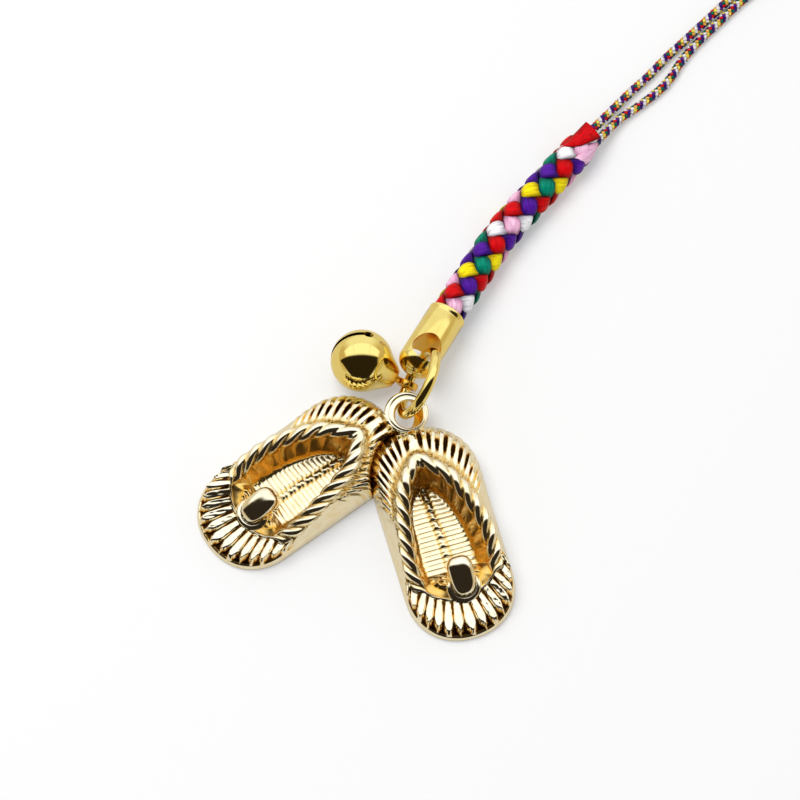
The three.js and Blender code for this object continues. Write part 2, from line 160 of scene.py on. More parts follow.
class MetalSettings(bpy.types.PropertyGroup):
    cap_length: size("Cap length", "Length of the end cap", 9.6)
    cap_radius: size("Cap radius", "Outer radius of the end cap", 2.45)
    cap_hole: size("Cap hole", "Radius of the cap's cross hole", 1.85)
    ring_radius: size("Ring radius", "Radius of the jump ring's centre line", 4.2)
    ring_wire: size("Ring wire", "Radius of the jump ring's wire", 0.65)
    bell_radius: size("Bell radius", "Outer radius of the bell", 3.9)
    bell_wall: size("Bell wall", "Thickness of the bell's wall", 0.35)
    gold: tone("Yellow gold", "Plating of the cap, the ring and the bell", (0.95, 0.79, 0.28))
    pale: tone("Pale gold", "Plating of the sandals", (1.0, 0.95, 0.79))


class SandalSettings(bpy.types.PropertyGroup):
    length: size("Length", "Length of one sole", 27.5)
    width: size("Width", "Width of one sole", 13.7)
    rope_radius: size("Rope radius", "Radius of the twisted rope round the well", 0.95)
    heel_height: size("Heel height", "Height of the rope at the heel", 6.8)
    toe_height: size("Toe height", "Height of the rope at the toe", 2.0)
    toe_ridges: count("Toe ridges", "Straw ridges at the toe, if they went all round", 46)
    heel_ridges: count("Heel ridges", "Straw ridges at the heel, if they went all round", 54)


class StageSettings(bpy.types.PropertyGroup):
    key_power: FloatProperty(name="Key lamp", description="Power of the lamp", default=2.3, unit="POWER")
    sky_light: FloatProperty(name="Sky light", description="Even light from all sides", default=0.57)
    floor: tone("Floor", "Plain pale floor", (0.86, 0.86, 0.86))


# Meshes

def show_only(*objects):
    """Selects these objects alone and makes the first one active."""
    bpy.context.view_layer.update()
    bpy.ops.object.select_all(action="DESELECT")
    for chosen in objects:
        chosen.select_set(True)
    bpy.context.view_layer.objects.active = objects[0]


def mesh_object(name, points, edges, faces):
    mesh = bpy.data.meshes.new(name)
    mesh.from_pydata([tuple(point) for point in points], edges, faces)
    mesh.shade_smooth()
    mesh.update()
    piece = bpy.data.objects.new(name, mesh)
    bpy.context.scene.collection.objects.link(piece)
    return piece


def points_of(piece):
    """The points of the mesh in millimetres, one in each row."""
    points = np.zeros(len(piece.data.vertices) * 3)
    piece.data.vertices.foreach_get("co", points)
    return points.reshape(-1, 3) / MM


def set_points(piece, points):
    piece.data.vertices.foreach_set("co", (points * MM).ravel())
    piece.data.update()


def set_values(piece, name, values):
    """Keeps one number for each point of the mesh, which a material reads by its name."""
    layer = piece.data.attributes.get(name) or piece.data.attributes.new(name, "FLOAT", "POINT")
    layer.data.foreach_set("value", np.array(values, np.float32))


def moved(piece, place, turn=Matrix.Identity(4)):
    """Turns the mesh, then moves it to a place in millimetres."""
    piece.data.transform(Matrix.Translation(Vector(place) * MM) @ turn)
    return piece


def placed(piece, centre, axis, near):
    """Moves the mesh so that its own Z looks along axis, its X as near as it can to near."""
    z = Vector(axis).normalized()
    y = z.cross(Vector(near)).normalized()
    return moved(piece, centre, Matrix((y.cross(z), y, z)).transposed().to_4x4())


def begin_edit(piece):
    """Goes into edit mode on one piece, with all of it selected."""
    show_only(piece)
    bpy.ops.object.mode_set(mode="EDIT")
    bpy.ops.mesh.select_all(action="SELECT")


def end_edit():
    """Turns all faces outwards and leaves edit mode."""
    bpy.ops.mesh.select_all(action="SELECT")
    bpy.ops.mesh.normals_make_consistent(inside=False)
    bpy.ops.object.mode_set(mode="OBJECT")


def spun(name, profile, steps):
    """A closed profile of (radius, height) points, in millimetres, spun round Z."""
    points = [(radius * MM, 0, height * MM) for radius, height in profile]
    edges = [(i, (i + 1) % len(points)) for i in range(len(points))]
    piece = mesh_object(name, points, edges, [])
    begin_edit(piece)
    bpy.ops.mesh.spin(steps=steps, angle=2 * math.pi, center=(0, 0, 0), axis=(0, 0, 1))
    bpy.ops.mesh.select_all(action="SELECT")
    bpy.ops.mesh.remove_doubles(threshold=1e-7)
    bpy.ops.mesh.delete_loose()
    end_edit()
    return piece


def cut_out(piece, cutter):
    """Takes the cutter's room out of the piece and removes the cutter."""
    show_only(piece)
    opening = piece.modifiers.new("opening", "BOOLEAN")
    opening.operation = "DIFFERENCE"
    opening.solver = "EXACT"
    opening.object = cutter
    bpy.ops.object.modifier_apply(modifier=opening.name)
    bpy.data.objects.remove(cutter)


def joined(name, pieces):
    show_only(*pieces)
    bpy.ops.object.join()
    pieces[0].name = name
    return pieces[0]


def smooth_faces(piece, angle):
    """Smooth shading, with sharp edges where faces meet at more than this angle in degrees."""
    show_only(piece)
    bpy.ops.object.shade_smooth_by_angle(angle=math.radians(angle))


def dressed(piece, *materials):
    piece.data.materials.clear()
    for material in materials:
        piece.data.materials.append(material)


def arc(radius, centre, start, end, steps):
    """Points of an arc in the (radius, height) plane, with its angles in degrees."""
    turns = [math.radians(start + (end - start) * i / steps) for i in range(steps + 1)]
    return [(centre[0] + radius * math.cos(t), centre[1] + radius * math.sin(t)) for t in turns]


# Curves

def through(points, closed=False, per_span=40):
    """Dense points of a smooth curve through the given ones."""
    points = np.array(points, float)
    if closed:
        padded = np.vstack([points[-1], points, points[:2]])
    else:
        padded = np.vstack([2 * points[0] - points[1], points, 2 * points[-1] - points[-2]])
    dense = []
    for a, b, c, d in zip(padded, padded[1:], padded[2:], padded[3:]):
        gaps = [max(np.linalg.norm(q - p) ** 0.5, 1e-6) for p, q in ((a, b), (b, c), (c, d))]
        enter = ((b - a) / gaps[0] - (c - a) / (gaps[0] + gaps[1]) + (c - b) / gaps[1]) * gaps[1]
        leave = ((c - b) / gaps[1] - (d - b) / (gaps[1] + gaps[2]) + (d - c) / gaps[2]) * gaps[1]
        for t in np.arange(per_span) / per_span:
            cube, square = t ** 3, t ** 2
            dense.append(
                (2 * cube - 3 * square + 1) * b + (cube - 2 * square + t) * enter
                + (3 * square - 2 * cube) * c + (cube - square) * leave
            )
    dense.append(points[0] if closed else points[-1])
    return np.array(dense)


def run_length(points):
    """Distance of each point from the first one, along the line."""
    return np.concatenate([[0], np.cumsum(np.linalg.norm(np.diff(points, axis=0), axis=1))])


def at_lengths(points, lengths):
    """Points that lie at these distances along a line."""
    run = run_length(points)
    return np.stack([np.interp(lengths, run, points[:, k]) for k in range(points.shape[1])], axis=1)


def unit(rows):
    return rows / np.linalg.norm(rows, axis=1, keepdims=True)


def ease(values, low, high):
    """Goes softly from 0 at low to 1 at high."""
    share = np.clip((values - low) / (high - low), 0, 1)
    return share * share * (3 - 2 * share)


# Strands of the cords

def strand_rings(centre, sides, width, depth, outward):
    """Rings of a flat round strand along a line, wide across it and thin along outward."""
    ahead = unit(np.gradient(centre, axis=0))
    across = unit(np.cross(ahead, outward))
    rise = np.cross(across, ahead)
    turns = 2 * np.pi * np.arange(sides) / sides
    round_x = np.sign(np.cos(turns)) * np.abs(np.cos(turns)) ** 0.8
    round_y = np.sign(np.sin(turns)) * np.abs(np.sin(turns)) ** 0.8
    width, depth = (np.broadcast_to(v, len(centre))[:, None, None] for v in (width, depth))
    return (
        centre[:, None, :]
        + width / 2 * round_x[None, :, None] * across[:, None, :]
        + depth / 2 * round_y[None, :, None] * rise[:, None, :]
    )


def strands_mesh(name, strands, materials):
    """One mesh of closed strands, each (rings, material number, painted light). UV: X across, Y along."""
    points, faces, picks, uvs, painted_lights = [], [], [], [], []
    base = 0
    for number, (rings, pick, painted_light) in enumerate(strands):
        count, sides = rings.shape[:2]
        turns = 2 * np.pi * np.arange(sides) / sides
        # Painted shade: each strand is darker on its inner side, towards the core of the cord
        inner_side_painted_shade = 0.3 + 0.7 * np.maximum(np.sin(turns), 0) ** 0.5
        painted_lights.extend((np.broadcast_to(painted_light, count)[:, None] * inner_side_painted_shade[None, :]).ravel())
        painted_lights.extend([0.0, 0.0])
        run = run_length(rings.mean(axis=1))
        points.extend(rings.reshape(-1, 3) * MM)
        points.extend([rings[0].mean(axis=0) * MM, rings[-1].mean(axis=0) * MM])
        first, last = base + count * sides, base + count * sides + 1
        end = base + (count - 1) * sides
        for i in range(count - 1):
            here, ahead = base + i * sides, base + (i + 1) * sides
            for k in range(sides):
                n = (k + 1) % sides
                left, right = k / sides + number, (k + 1) / sides + number
                faces.append((here + k, ahead + k, ahead + n, here + n))
                uvs.extend([(left, run[i]), (left, run[i + 1]), (right, run[i + 1]), (right, run[i])])
        for k in range(sides):
            n = (k + 1) % sides
            faces.extend([(first, base + k, base + n), (last, end + n, end + k)])
            uvs.extend([(number, run[0])] * 3 + [(number, run[-1])] * 3)
        picks.extend([pick] * ((count + 1) * sides))
        base += count * sides + 2
    piece = mesh_object(name, points, [], faces)
    layer = piece.data.uv_layers.new(name="thread")
    layer.data.foreach_set("uv", np.array(uvs, float).ravel())
    set_values(piece, "painted_light", painted_lights)
    dressed(piece, *materials)
    piece.data.polygons.foreach_set("material_index", picks)
    piece.data.update()
    return piece


def viewer_frame(line):
    """For each point of a line: the ways to the viewer's side and to the viewer's right, across it."""
    ahead = unit(np.gradient(line, axis=0))
    view = np.array(TO_VIEWER)
    facing = unit(view - (ahead @ view)[:, None] * ahead)
    return facing, np.cross(ahead, facing)


def woven(line, lengths, threads, pitch, sides, diameter, shares, swell, lean=0.0):
    """Strands of a round braid of four and four. A thread is (way round, start, material number)."""
    facing, right = viewer_frame(line)
    radius, wave, width, depth = (share * diameter for share in shares)
    strands = []
    for way, start, pick in threads:
        turn = way * 2 * np.pi * (lengths - start) / pitch
        over = -way * np.cos(4 * (turn - np.pi / 8))
        out = np.cos(turn + lean)[:, None] * facing + np.sin(turn + lean)[:, None] * right
        centre = line + ((radius + wave * over) * swell)[:, None] * out
        rings = strand_rings(centre, sides, width * swell, depth * swell, out)
        # Painted light: from 0 where the strand dives under the others (painted shade) to 1 on its crown
        # (painted highlight)
        strands.append((rings, pick, 0.5 + 0.5 * over))
    return strands


# Materials

def feed(tree, socket, value):
    """Links a socket to the output that is given, or sets it to the value."""
    if isinstance(value, bpy.types.NodeSocket):
        tree.links.new(value, socket)
    else:
        socket.default_value = value


def fill(tree, made, **inputs):
    """Feeds a node's inputs by name, with an underscore for each space."""
    for label, value in inputs.items():
        feed(tree, made.inputs[label.replace("_", " ")], value)
    return made


def node(tree, kind, *values, settings=None, **inputs):
    """A new node with its settings, and with its inputs fed in their order or by name."""
    made = tree.nodes.new(kind)
    for label, value in (settings or {}).items():
        setattr(made, label, value)
    for socket, value in zip(made.inputs, values):
        feed(tree, socket, value)
    return fill(tree, made, **inputs)


def maths(tree, operation, *values):
    return node(tree, "ShaderNodeMath", *values, settings={"operation": operation}).outputs["Value"]


def mixed(tree, kind, share, first, second):
    """Colour between the first and what the blend of both makes of it, by a share."""
    settings = {"data_type": "RGBA", "blend_type": kind}
    return node(tree, "ShaderNodeMix", settings=settings, Factor=share, A=first, B=second).outputs["Result"]


def ranged(tree, value, low, high, way="LINEAR"):
    """0 where the value is at low, 1 where it is at high."""
    settings = {"interpolation_type": way}
    made = node(tree, "ShaderNodeMapRange", settings=settings, Value=value, From_Min=low, From_Max=high)
    return made.outputs["Result"]


def band(tree, value, low, high, soft):
    """1 where the value is between low and high, with edges that are twice soft wide."""
    after = ranged(tree, value, low - soft, low + soft, "SMOOTHSTEP")
    before = ranged(tree, value, high + soft, high - soft, "SMOOTHSTEP")
    return maths(tree, "MULTIPLY", after, before)


def blended(tree, share, first, second):
    return node(tree, "ShaderNodeMixShader", share, first, second).outputs["Shader"]


def attribute(tree, name):
    return node(tree, "ShaderNodeAttribute", settings={"attribute_name": name}).outputs["Fac"]


def cloudy(tree, place, scale, detail):
    made = node(tree, "ShaderNodeTexNoise", Vector=place, Scale=scale, Detail=detail, Roughness=0.6)
    return made.outputs["Fac"]


def bump(tree, height, shader, strength, distance):
    relief = node(tree, "ShaderNodeBump", Strength=strength, Distance=distance, Height=height)
    fill(tree, shader, Normal=relief.outputs["Normal"])


def material_with(name, **inputs):
    made = bpy.data.materials.new(name)
    made.use_nodes = True
    tree = made.node_tree
    return made, tree, fill(tree, tree.nodes["Principled BSDF"], **inputs)


def new_group(name, inputs, outputs):
    group = bpy.data.node_groups.new(name, "ShaderNodeTree")
    for label, kind, value in inputs:
        group.interface.new_socket(label, in_out="INPUT", socket_type=kind).default_value = value
    for label, kind in outputs:
        group.interface.new_socket(label, in_out="OUTPUT", socket_type=kind)
    return group, group.nodes.new("NodeGroupInput").outputs, group.nodes.new("NodeGroupOutput")


def thread_group():
    """Fine threads along a strand, with painted shade where it goes under another and a painted highlight
    on its crown.
    """
    group, given, result = new_group(
        "satin threads and painted sheen",
        [("Colour", "NodeSocketColor", (1, 1, 1, 1)), ("Across", "NodeSocketFloat", 30.0),
         ("Along", "NodeSocketFloat", 0.9), ("Contrast", "NodeSocketFloat", 0.35)],
        [("Colour", "NodeSocketColor"), ("Height", "NodeSocketFloat")],
    )
    between_threads, painted_shade_under_others = (0.36, 0.3, 0.36, 1), (0.15, 0.11, 0.17, 1)
    uv = node(group, "ShaderNodeUVMap", settings={"uv_map": "thread"}).outputs["UV"]
    scale = node(group, "ShaderNodeCombineXYZ", given["Across"], given["Along"]).outputs["Vector"]
    stretched = node(group, "ShaderNodeVectorMath", uv, scale, settings={"operation": "MULTIPLY"})
    threads = cloudy(group, stretched.outputs["Vector"], 1.0, 2.0)
    streaks = maths(group, "MULTIPLY", ranged(group, threads, 0.3, 0.7), given["Contrast"])
    dark = mixed(group, "MULTIPLY", 1.0, given["Colour"], between_threads)
    streaked = mixed(group, "MIX", streaks, given["Colour"], dark)
    painted_light = attribute(group, "painted_light")
    # Painted highlight on each strand's crown, made by screening its colour with itself
    painted_crown_highlight = mixed(group, "SCREEN", ranged(group, painted_light, 0.72, 0.98, "SMOOTHSTEP"), streaked, streaked)
    # Painted shade where the strand dives under the others
    painted_tuck_shade = ranged(group, painted_light, 0.9, 0.32, "SMOOTHSTEP")
    fill(group, result, Colour=mixed(group, "MULTIPLY", painted_tuck_shade, painted_crown_highlight, painted_shade_under_others), Height=threads)
    return group


def plating_group():
    """Plating with faint cloudy tone, a slightly uneven polish and very fine marks."""
    group, given, result = new_group(
        "plating",
        [("Colour", "NodeSocketColor", (1, 1, 1, 1)), ("Polish", "NodeSocketFloat", 0.08),
         ("Cloud Scale", "NodeSocketFloat", 400.0)],
        [("Colour", "NodeSocketColor"), ("Roughness", "NodeSocketFloat"), ("Height", "NodeSocketFloat")],
    )
    warm_tone, uneven_polish = (0.94, 0.86, 0.7, 1), 0.08
    place = node(group, "ShaderNodeTexCoord").outputs["Object"]
    clouds = cloudy(group, place, given["Cloud Scale"], 3.0)
    warm = mixed(group, "MULTIPLY", ranged(group, clouds, 0.45, 0.8), given["Colour"], warm_tone)
    rough = maths(group, "MULTIPLY_ADD", clouds, uneven_polish, given["Polish"])
    fill(group, result, Colour=warm, Roughness=rough, Height=clouds)
    return group


def group_node(tree, name, make, colour, **inputs):
    """Outputs of the node group of this name, made if there is none yet, with its inputs set."""
    settings = {"node_tree": bpy.data.node_groups.get(name) or make()}
    return node(tree, "ShaderNodeGroup", settings=settings, Colour=(*colour, 1), **inputs).outputs


def satin(name, colour, across, contrast, relief):
    """Satin thread in one colour. The lines run along the strand."""
    made, tree, shader = material_with(name, Roughness=0.26, Specular_IOR_Level=0.12)
    threads = group_node(tree, "satin threads and painted sheen", thread_group, colour, Across=across, Contrast=contrast)
    fill(tree, shader, Base_Color=threads["Colour"])
    bump(tree, threads["Height"], shader, relief, 0.06 * MM)
    return made


def plated(name, colour, polish, cloud_scale, relief=0.0):
    """Polished plating in one colour."""
    made, tree, shader = material_with(name, Metallic=1.0)
    surface = group_node(tree, "plating", plating_group, colour, Polish=polish, Cloud_Scale=cloud_scale)
    fill(tree, shader, Base_Color=surface["Colour"], Roughness=surface["Roughness"])
    if relief:
        bump(tree, surface["Height"], shader, relief, 0.05 * MM)
    return made


# Painted shade and warm painted reflection of a casting, from its raised parts (0) to the bottom of its
# hollows (1)
PAINTED_SHADE_TONES = {
    0: (1, 1, 1, 1),
    0.3: (1, 0.92, 0.7, 1),
    0.6: (1, 0.64, 0.15, 1),
    0.82: (0.42, 0.17, 0.03, 1),
    1: (0.07, 0.03, 0.01, 1),
}


def gold_with_painted_shade(name, colour, polish, cloud_scale, relief):
    """Plating with painted shade and a warm painted reflection in its recesses, which are also less
    polished.
    """
    hollow_dulling = 0.25
    made = plated(name, colour, polish, cloud_scale, relief)
    tree = made.node_tree
    shader = tree.nodes["Principled BSDF"]
    plain, gloss = (shader.inputs[label].links[0].from_socket for label in ("Base Color", "Roughness"))
    painted_hollow_shade = attribute(tree, "painted_hollow_shade")
    tones = node(tree, "ShaderNodeValToRGB", painted_hollow_shade)
    ramp = tones.color_ramp.elements
    for place in list(PAINTED_SHADE_TONES)[1:-1]:
        ramp.new(place)
    for stop, tint in zip(ramp, PAINTED_SHADE_TONES.values()):
        stop.color = tint
    # Painted shade: the colour goes through amber towards near black at the bottom of the recesses
    shaded = mixed(tree, "MULTIPLY", 1.0, plain, tones.outputs["Color"])
    dull = maths(tree, "MULTIPLY_ADD", painted_hollow_shade, hollow_dulling, gloss)
    fill(tree, shader, Base_Color=shaded, Roughness=dull)
    return made


class StrapOperator(bpy.types.Operator):
    bl_options = {"REGISTER", "UNDO"}


class STRAP_OT_camera(StrapOperator):
    """Sets the camera at the steep front view"""

    bl_idname = "strap.camera"
    bl_label = "Camera"

    def execute(self, context):
        data = bpy.data.cameras.new("camera")
        data.sensor_width = VIEW_SENSOR
        data.lens = VIEW_LENS
        camera = bpy.data.objects.new("camera", data)
        camera.location = VIEW_TARGET + VIEW_DISTANCE * TO_VIEWER
        camera.rotation_euler = (math.pi / 2 - VIEW_ELEVATION, 0, 0)
        context.scene.collection.objects.link(camera)
        context.scene.camera = camera
        return {"FINISHED"}


class STRAP_OT_thin_cord(StrapOperator):
    """Braids the thin cord of eight threads along its loop"""

    bl_idname = "strap.thin_cord"
    bl_label = "Thin cord"

    TONES = {
        "navy": (0.025, 0.008, 0.15), "green": (0.0, 0.12, 0.07), "yellow": (0.9, 0.74, 0.08),
        "white": (0.86, 0.84, 0.84), "purple": (0.1, 0.012, 0.22), "red": (0.62, 0.004, 0.01),
        "orange": (0.9, 0.42, 0.08),
    }
    # Way round of four threads each, and their colours in order
    SETS = ((1, ("navy", "green", "yellow", "white")), (-1, ("red", "orange", "white", "purple")))
    # Radius of the braid's centre line, its wave, and a thread's width and depth
    SHARES_OF_DIAMETER = (0.28, 0.11, 0.5, 0.26)
    IN_HEAD = 1.2
    SPACING = 0.14

    def execute(self, context):
        given = context.scene.strap_cords
        diameter, pitch = given.thin_diameter / MM, given.thin_pitch / MM
        dense = through(LOOP_ROUTE)
        back = unit(np.array([dense[0] - dense[1], dense[-1] - dense[-2]])) * self.IN_HEAD
        dense = np.vstack([dense[0] + back[0], dense, dense[-1] + back[1]])
        total = run_length(dense)[-1]
        lengths = np.linspace(0, total, int(total / self.SPACING))
        line = at_lengths(dense, lengths)
        materials = [
            satin(f"thin_{word}", colour, across=6.0, contrast=0.4, relief=0.5)
            for word, colour in self.TONES.items()
        ]
        words = list(self.TONES)
        threads = []
        for way, order in self.SETS:
            shift = 0 if way > 0 else pitch / 8
            threads += [(way, shift + i * pitch / 4, words.index(word)) for i, word in enumerate(order)]
        sides, swell = 6, 1.0
        strands = woven(line, lengths, threads, pitch, sides, diameter, self.SHARES_OF_DIAMETER, swell)
        cord = strands_mesh("loop_cord_braided", strands, materials)
        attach(cord, "strap")
        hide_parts("loop_cord")
        return {"FINISHED"}


class STRAP_OT_braid(StrapOperator):
    """Weaves the satin braid of eight strands, with its folded head"""

    bl_idname = "strap.braid"
    bl_label = "Satin braid"

    SATINS = ("red", "yellow", "purple", "white", "green", "pink")
    # Way round of each strand, place where it starts, from the cap's mouth, and its satin
    STRANDS = (
        (1, 3.27, "red"), (1, 6.73, "yellow"), (1, 10.18, "purple"), (1, 13.64, "white"),
        (-1, 4.99, "purple"), (-1, 8.45, "green"), (-1, 11.91, "red"), (-1, 15.36, "pink"),
    )
    # Radius of the braid's centre line, its wave, and a strand's width and depth
    SHARES_OF_DIAMETER = (0.29, 0.1, 0.5, 0.235)
    LEAN = math.radians(-12.5)
    # Wrapped ends on the head: left and right edge as (distance from the head's end, place across)
    FLAP = (
        ((-4.7, -2.1), (-3.2, -1.95), (-1.5, -1.8), (0.55, -1.6)),
        ((-3.9, -2.0), (-3.1, -0.46), (-1.3, 0.8), (0.1, 1.5)),
    )
    PUFF = (
        ((-4.0, 0.3), (-3.1, 0.35), (-1.7, 0.6), (-0.3, 1.5)),
        ((-4.3, 0.6), (-4.2, 1.5), (-3.1, 2.2), (-1.2, 2.1)),
    )
    # Satin of each wrapped end, its edges, its distance from the centre line, thickness and painted light
    WRAPS = (("red", FLAP, 2.2, 0.22, 0.95), ("pink", PUFF, 1.6, 0.75, 0.96))

    def execute(self, context):
        given = context.scene.strap_cords
        diameter, pitch = given.braid_diameter / MM, given.braid_pitch / MM
        dense = through(BRAID_ROUTE)
        total = run_length(dense)[-1]
        lengths = np.linspace(0, total, 300)
        line = at_lengths(dense, lengths)
        from_mouth = lengths - BRAID_IN_CAP
        head, head_run, squeeze_in_cap, squeeze_at_head = total - BRAID_IN_CAP, 3.6, 0.18, 0.3
        swell = 1 - squeeze_in_cap + squeeze_in_cap * ease(from_mouth, -0.2, 1.6)
        swell = swell - squeeze_at_head * ease(from_mouth, head - head_run, head)
        materials = [
            satin(f"satin_{word}", getattr(given, word), across=26.0, contrast=0.85, relief=0.8)
            for word in self.SATINS
        ]
        threads = [(way, start, self.SATINS.index(word)) for way, start, word in self.STRANDS]
        sides = 16
        strands = woven(
            line, from_mouth, threads, pitch, sides, diameter, self.SHARES_OF_DIAMETER, swell, self.LEAN,
        )
        for word, edges, radius, thick, painted_light in self.WRAPS:
            rings = self.head_rings(line, lengths, edges, radius, thick)
            strands.append((rings, self.SATINS.index(word), painted_light))
        braid = strands_mesh("braid_strands", strands, materials)
        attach(braid, "strap")
        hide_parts("braid_cord")
        return {"FINISHED"}

    def head_rings(self, line, lengths, edges, radius, thick):
        """Rings of a band of satin that lies on the head between two edges."""
        facing, right = viewer_frame(line)
        ahead = unit(line[-1:] - line[-2:-1])[0]
        steps, sides, side_room, end_share = 40, 24, 0.3, 0.06
        left, far = (through([(*place, 0) for place in edge], per_span=20)[:, :2] for edge in edges)
        rings = []
        for share in np.linspace(0, 1, steps):
            a, b = (edge[int(round(share * (len(edge) - 1)))] for edge in (left, far))
            bulge = thick * math.sin(math.pi * min(max(share, end_share), 1 - end_share)) ** 0.5
            ring = []
            for k in range(sides):
                turn = 2 * math.pi * k / sides
                along, across = (a + b) / 2 + (b - a) / 2 * math.cos(turn)
                i = int(round(np.interp(lengths[-1] + along, lengths, np.arange(len(lengths)))))
                angle = math.asin(max(min(across / (radius + side_room), 1), -1))
                out = math.cos(angle) * facing[i] + math.sin(angle) * right[i]
                ring.append(line[i] + max(along, 0) * ahead + (radius + bulge * math.sin(turn)) * out)
            rings.append(ring)
        return np.array(rings)


class STRAP_OT_end_cap(StrapOperator):
    """Spins the end cap and bores its cross hole"""

    bl_idname = "strap.end_cap"
    bl_label = "End cap"

    def execute(self, context):
        given = context.scene.strap_metal
        length, radius = given.cap_length / MM, given.cap_radius / MM
        wall, dome, rim, groove_depth = 0.25, 2.0, 0.1, 0.1
        bore, bore_floor, bore_round = radius - wall, 5.9, 0.3
        turns = [math.pi / 2 * i / 20 for i in range(21)]
        outer = [(radius * math.sin(t), dome * (1 - math.cos(t))) for t in turns]
        groove_steps = ((0, 0.95), (groove_depth, 0.76), (groove_depth, 0.64), (0, 0.42))
        groove = [(radius - dip, length - from_mouth) for dip, from_mouth in groove_steps]
        mouth = arc(rim, (radius - rim, length - rim), 0, 90, 5)
        mouth += arc(rim, (bore + rim, length - rim), 90, 180, 5)
        inner = [(bore, bore_floor + bore_round), (bore - bore_round, bore_floor), (0, bore_floor)]
        cap = spun("end_cap_polished", outer + groove + mouth + inner, 128)
        placed(cap, CAP_END, CAP_AXIS, (0, 0, 1))
        hole_from_end, drill_length = 3.0, 8
        bpy.ops.mesh.primitive_cylinder_add(vertices=96, radius=given.cap_hole, depth=drill_length * MM)
        hole_place = Vector(CAP_END) + hole_from_end * CAP_AXIS
        cut_out(cap, placed(bpy.context.object, hole_place, CAP_HOLE_AXIS, (1, 0, 0)))
        smooth_faces(cap, 35)
        polished = plated("yellow_gold_cap", given.gold, polish=0.1, cloud_scale=300.0, relief=0.08)
        # Painted shade and warm painted reflection inside the bore: a deeper orange gold
        bore_shade = plated("yellow_gold_bore_painted_shade", (1.0, 0.58, 0.08), polish=0.16, cloud_scale=300.0)
        dressed(cap, polished, bore_shade)
        drilled_from, drilled_to = 0.4, 5.5
        for face in cap.data.polygons:
            from_end = face.center / MM - Vector(CAP_END)
            along = from_end.dot(CAP_AXIS)
            aside = (from_end - along * CAP_AXIS).length
            face.material_index = drilled_from < along < drilled_to and aside < bore
        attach(cap, "strap")
        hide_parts("end_cap")
        return {"FINISHED"}


class STRAP_OT_jump_ring(StrapOperator):
    """Bends the jump ring with its narrow split"""

    bl_idname = "strap.jump_ring"
    bl_label = "Jump ring"

    def execute(self, context):
        given = context.scene.strap_metal
        radius, wire = given.ring_radius, given.ring_wire
        split_place, split = math.radians(240), 0.15 * MM / radius
        bpy.ops.mesh.primitive_circle_add(vertices=32, radius=wire, fill_type="NGON")
        ring = bpy.context.object
        ring.data.transform(Matrix.Translation((radius, 0, 0)) @ Matrix.Rotation(math.pi / 2, 4, "X"))
        ring.data.transform(Matrix.Rotation(split_place + split / 2, 4, "Z"))
        begin_edit(ring)
        bpy.ops.mesh.spin(steps=160, angle=2 * math.pi - split, center=(0, 0, 0), axis=(0, 0, 1))
        end_edit()
        turn = Matrix((RING_ALONG, RING_RISE, RING_ALONG.cross(RING_RISE))).transposed().to_4x4()
        moved(ring, RING_CENTRE, turn)
        ring.name = "jump_ring_wire"
        smooth_faces(ring, 40)
        dressed(ring, plated("yellow_gold_ring", given.gold, polish=0.05, cloud_scale=500.0))
        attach(ring, "ring")
        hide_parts("jump_ring")
        return {"FINISHED"}


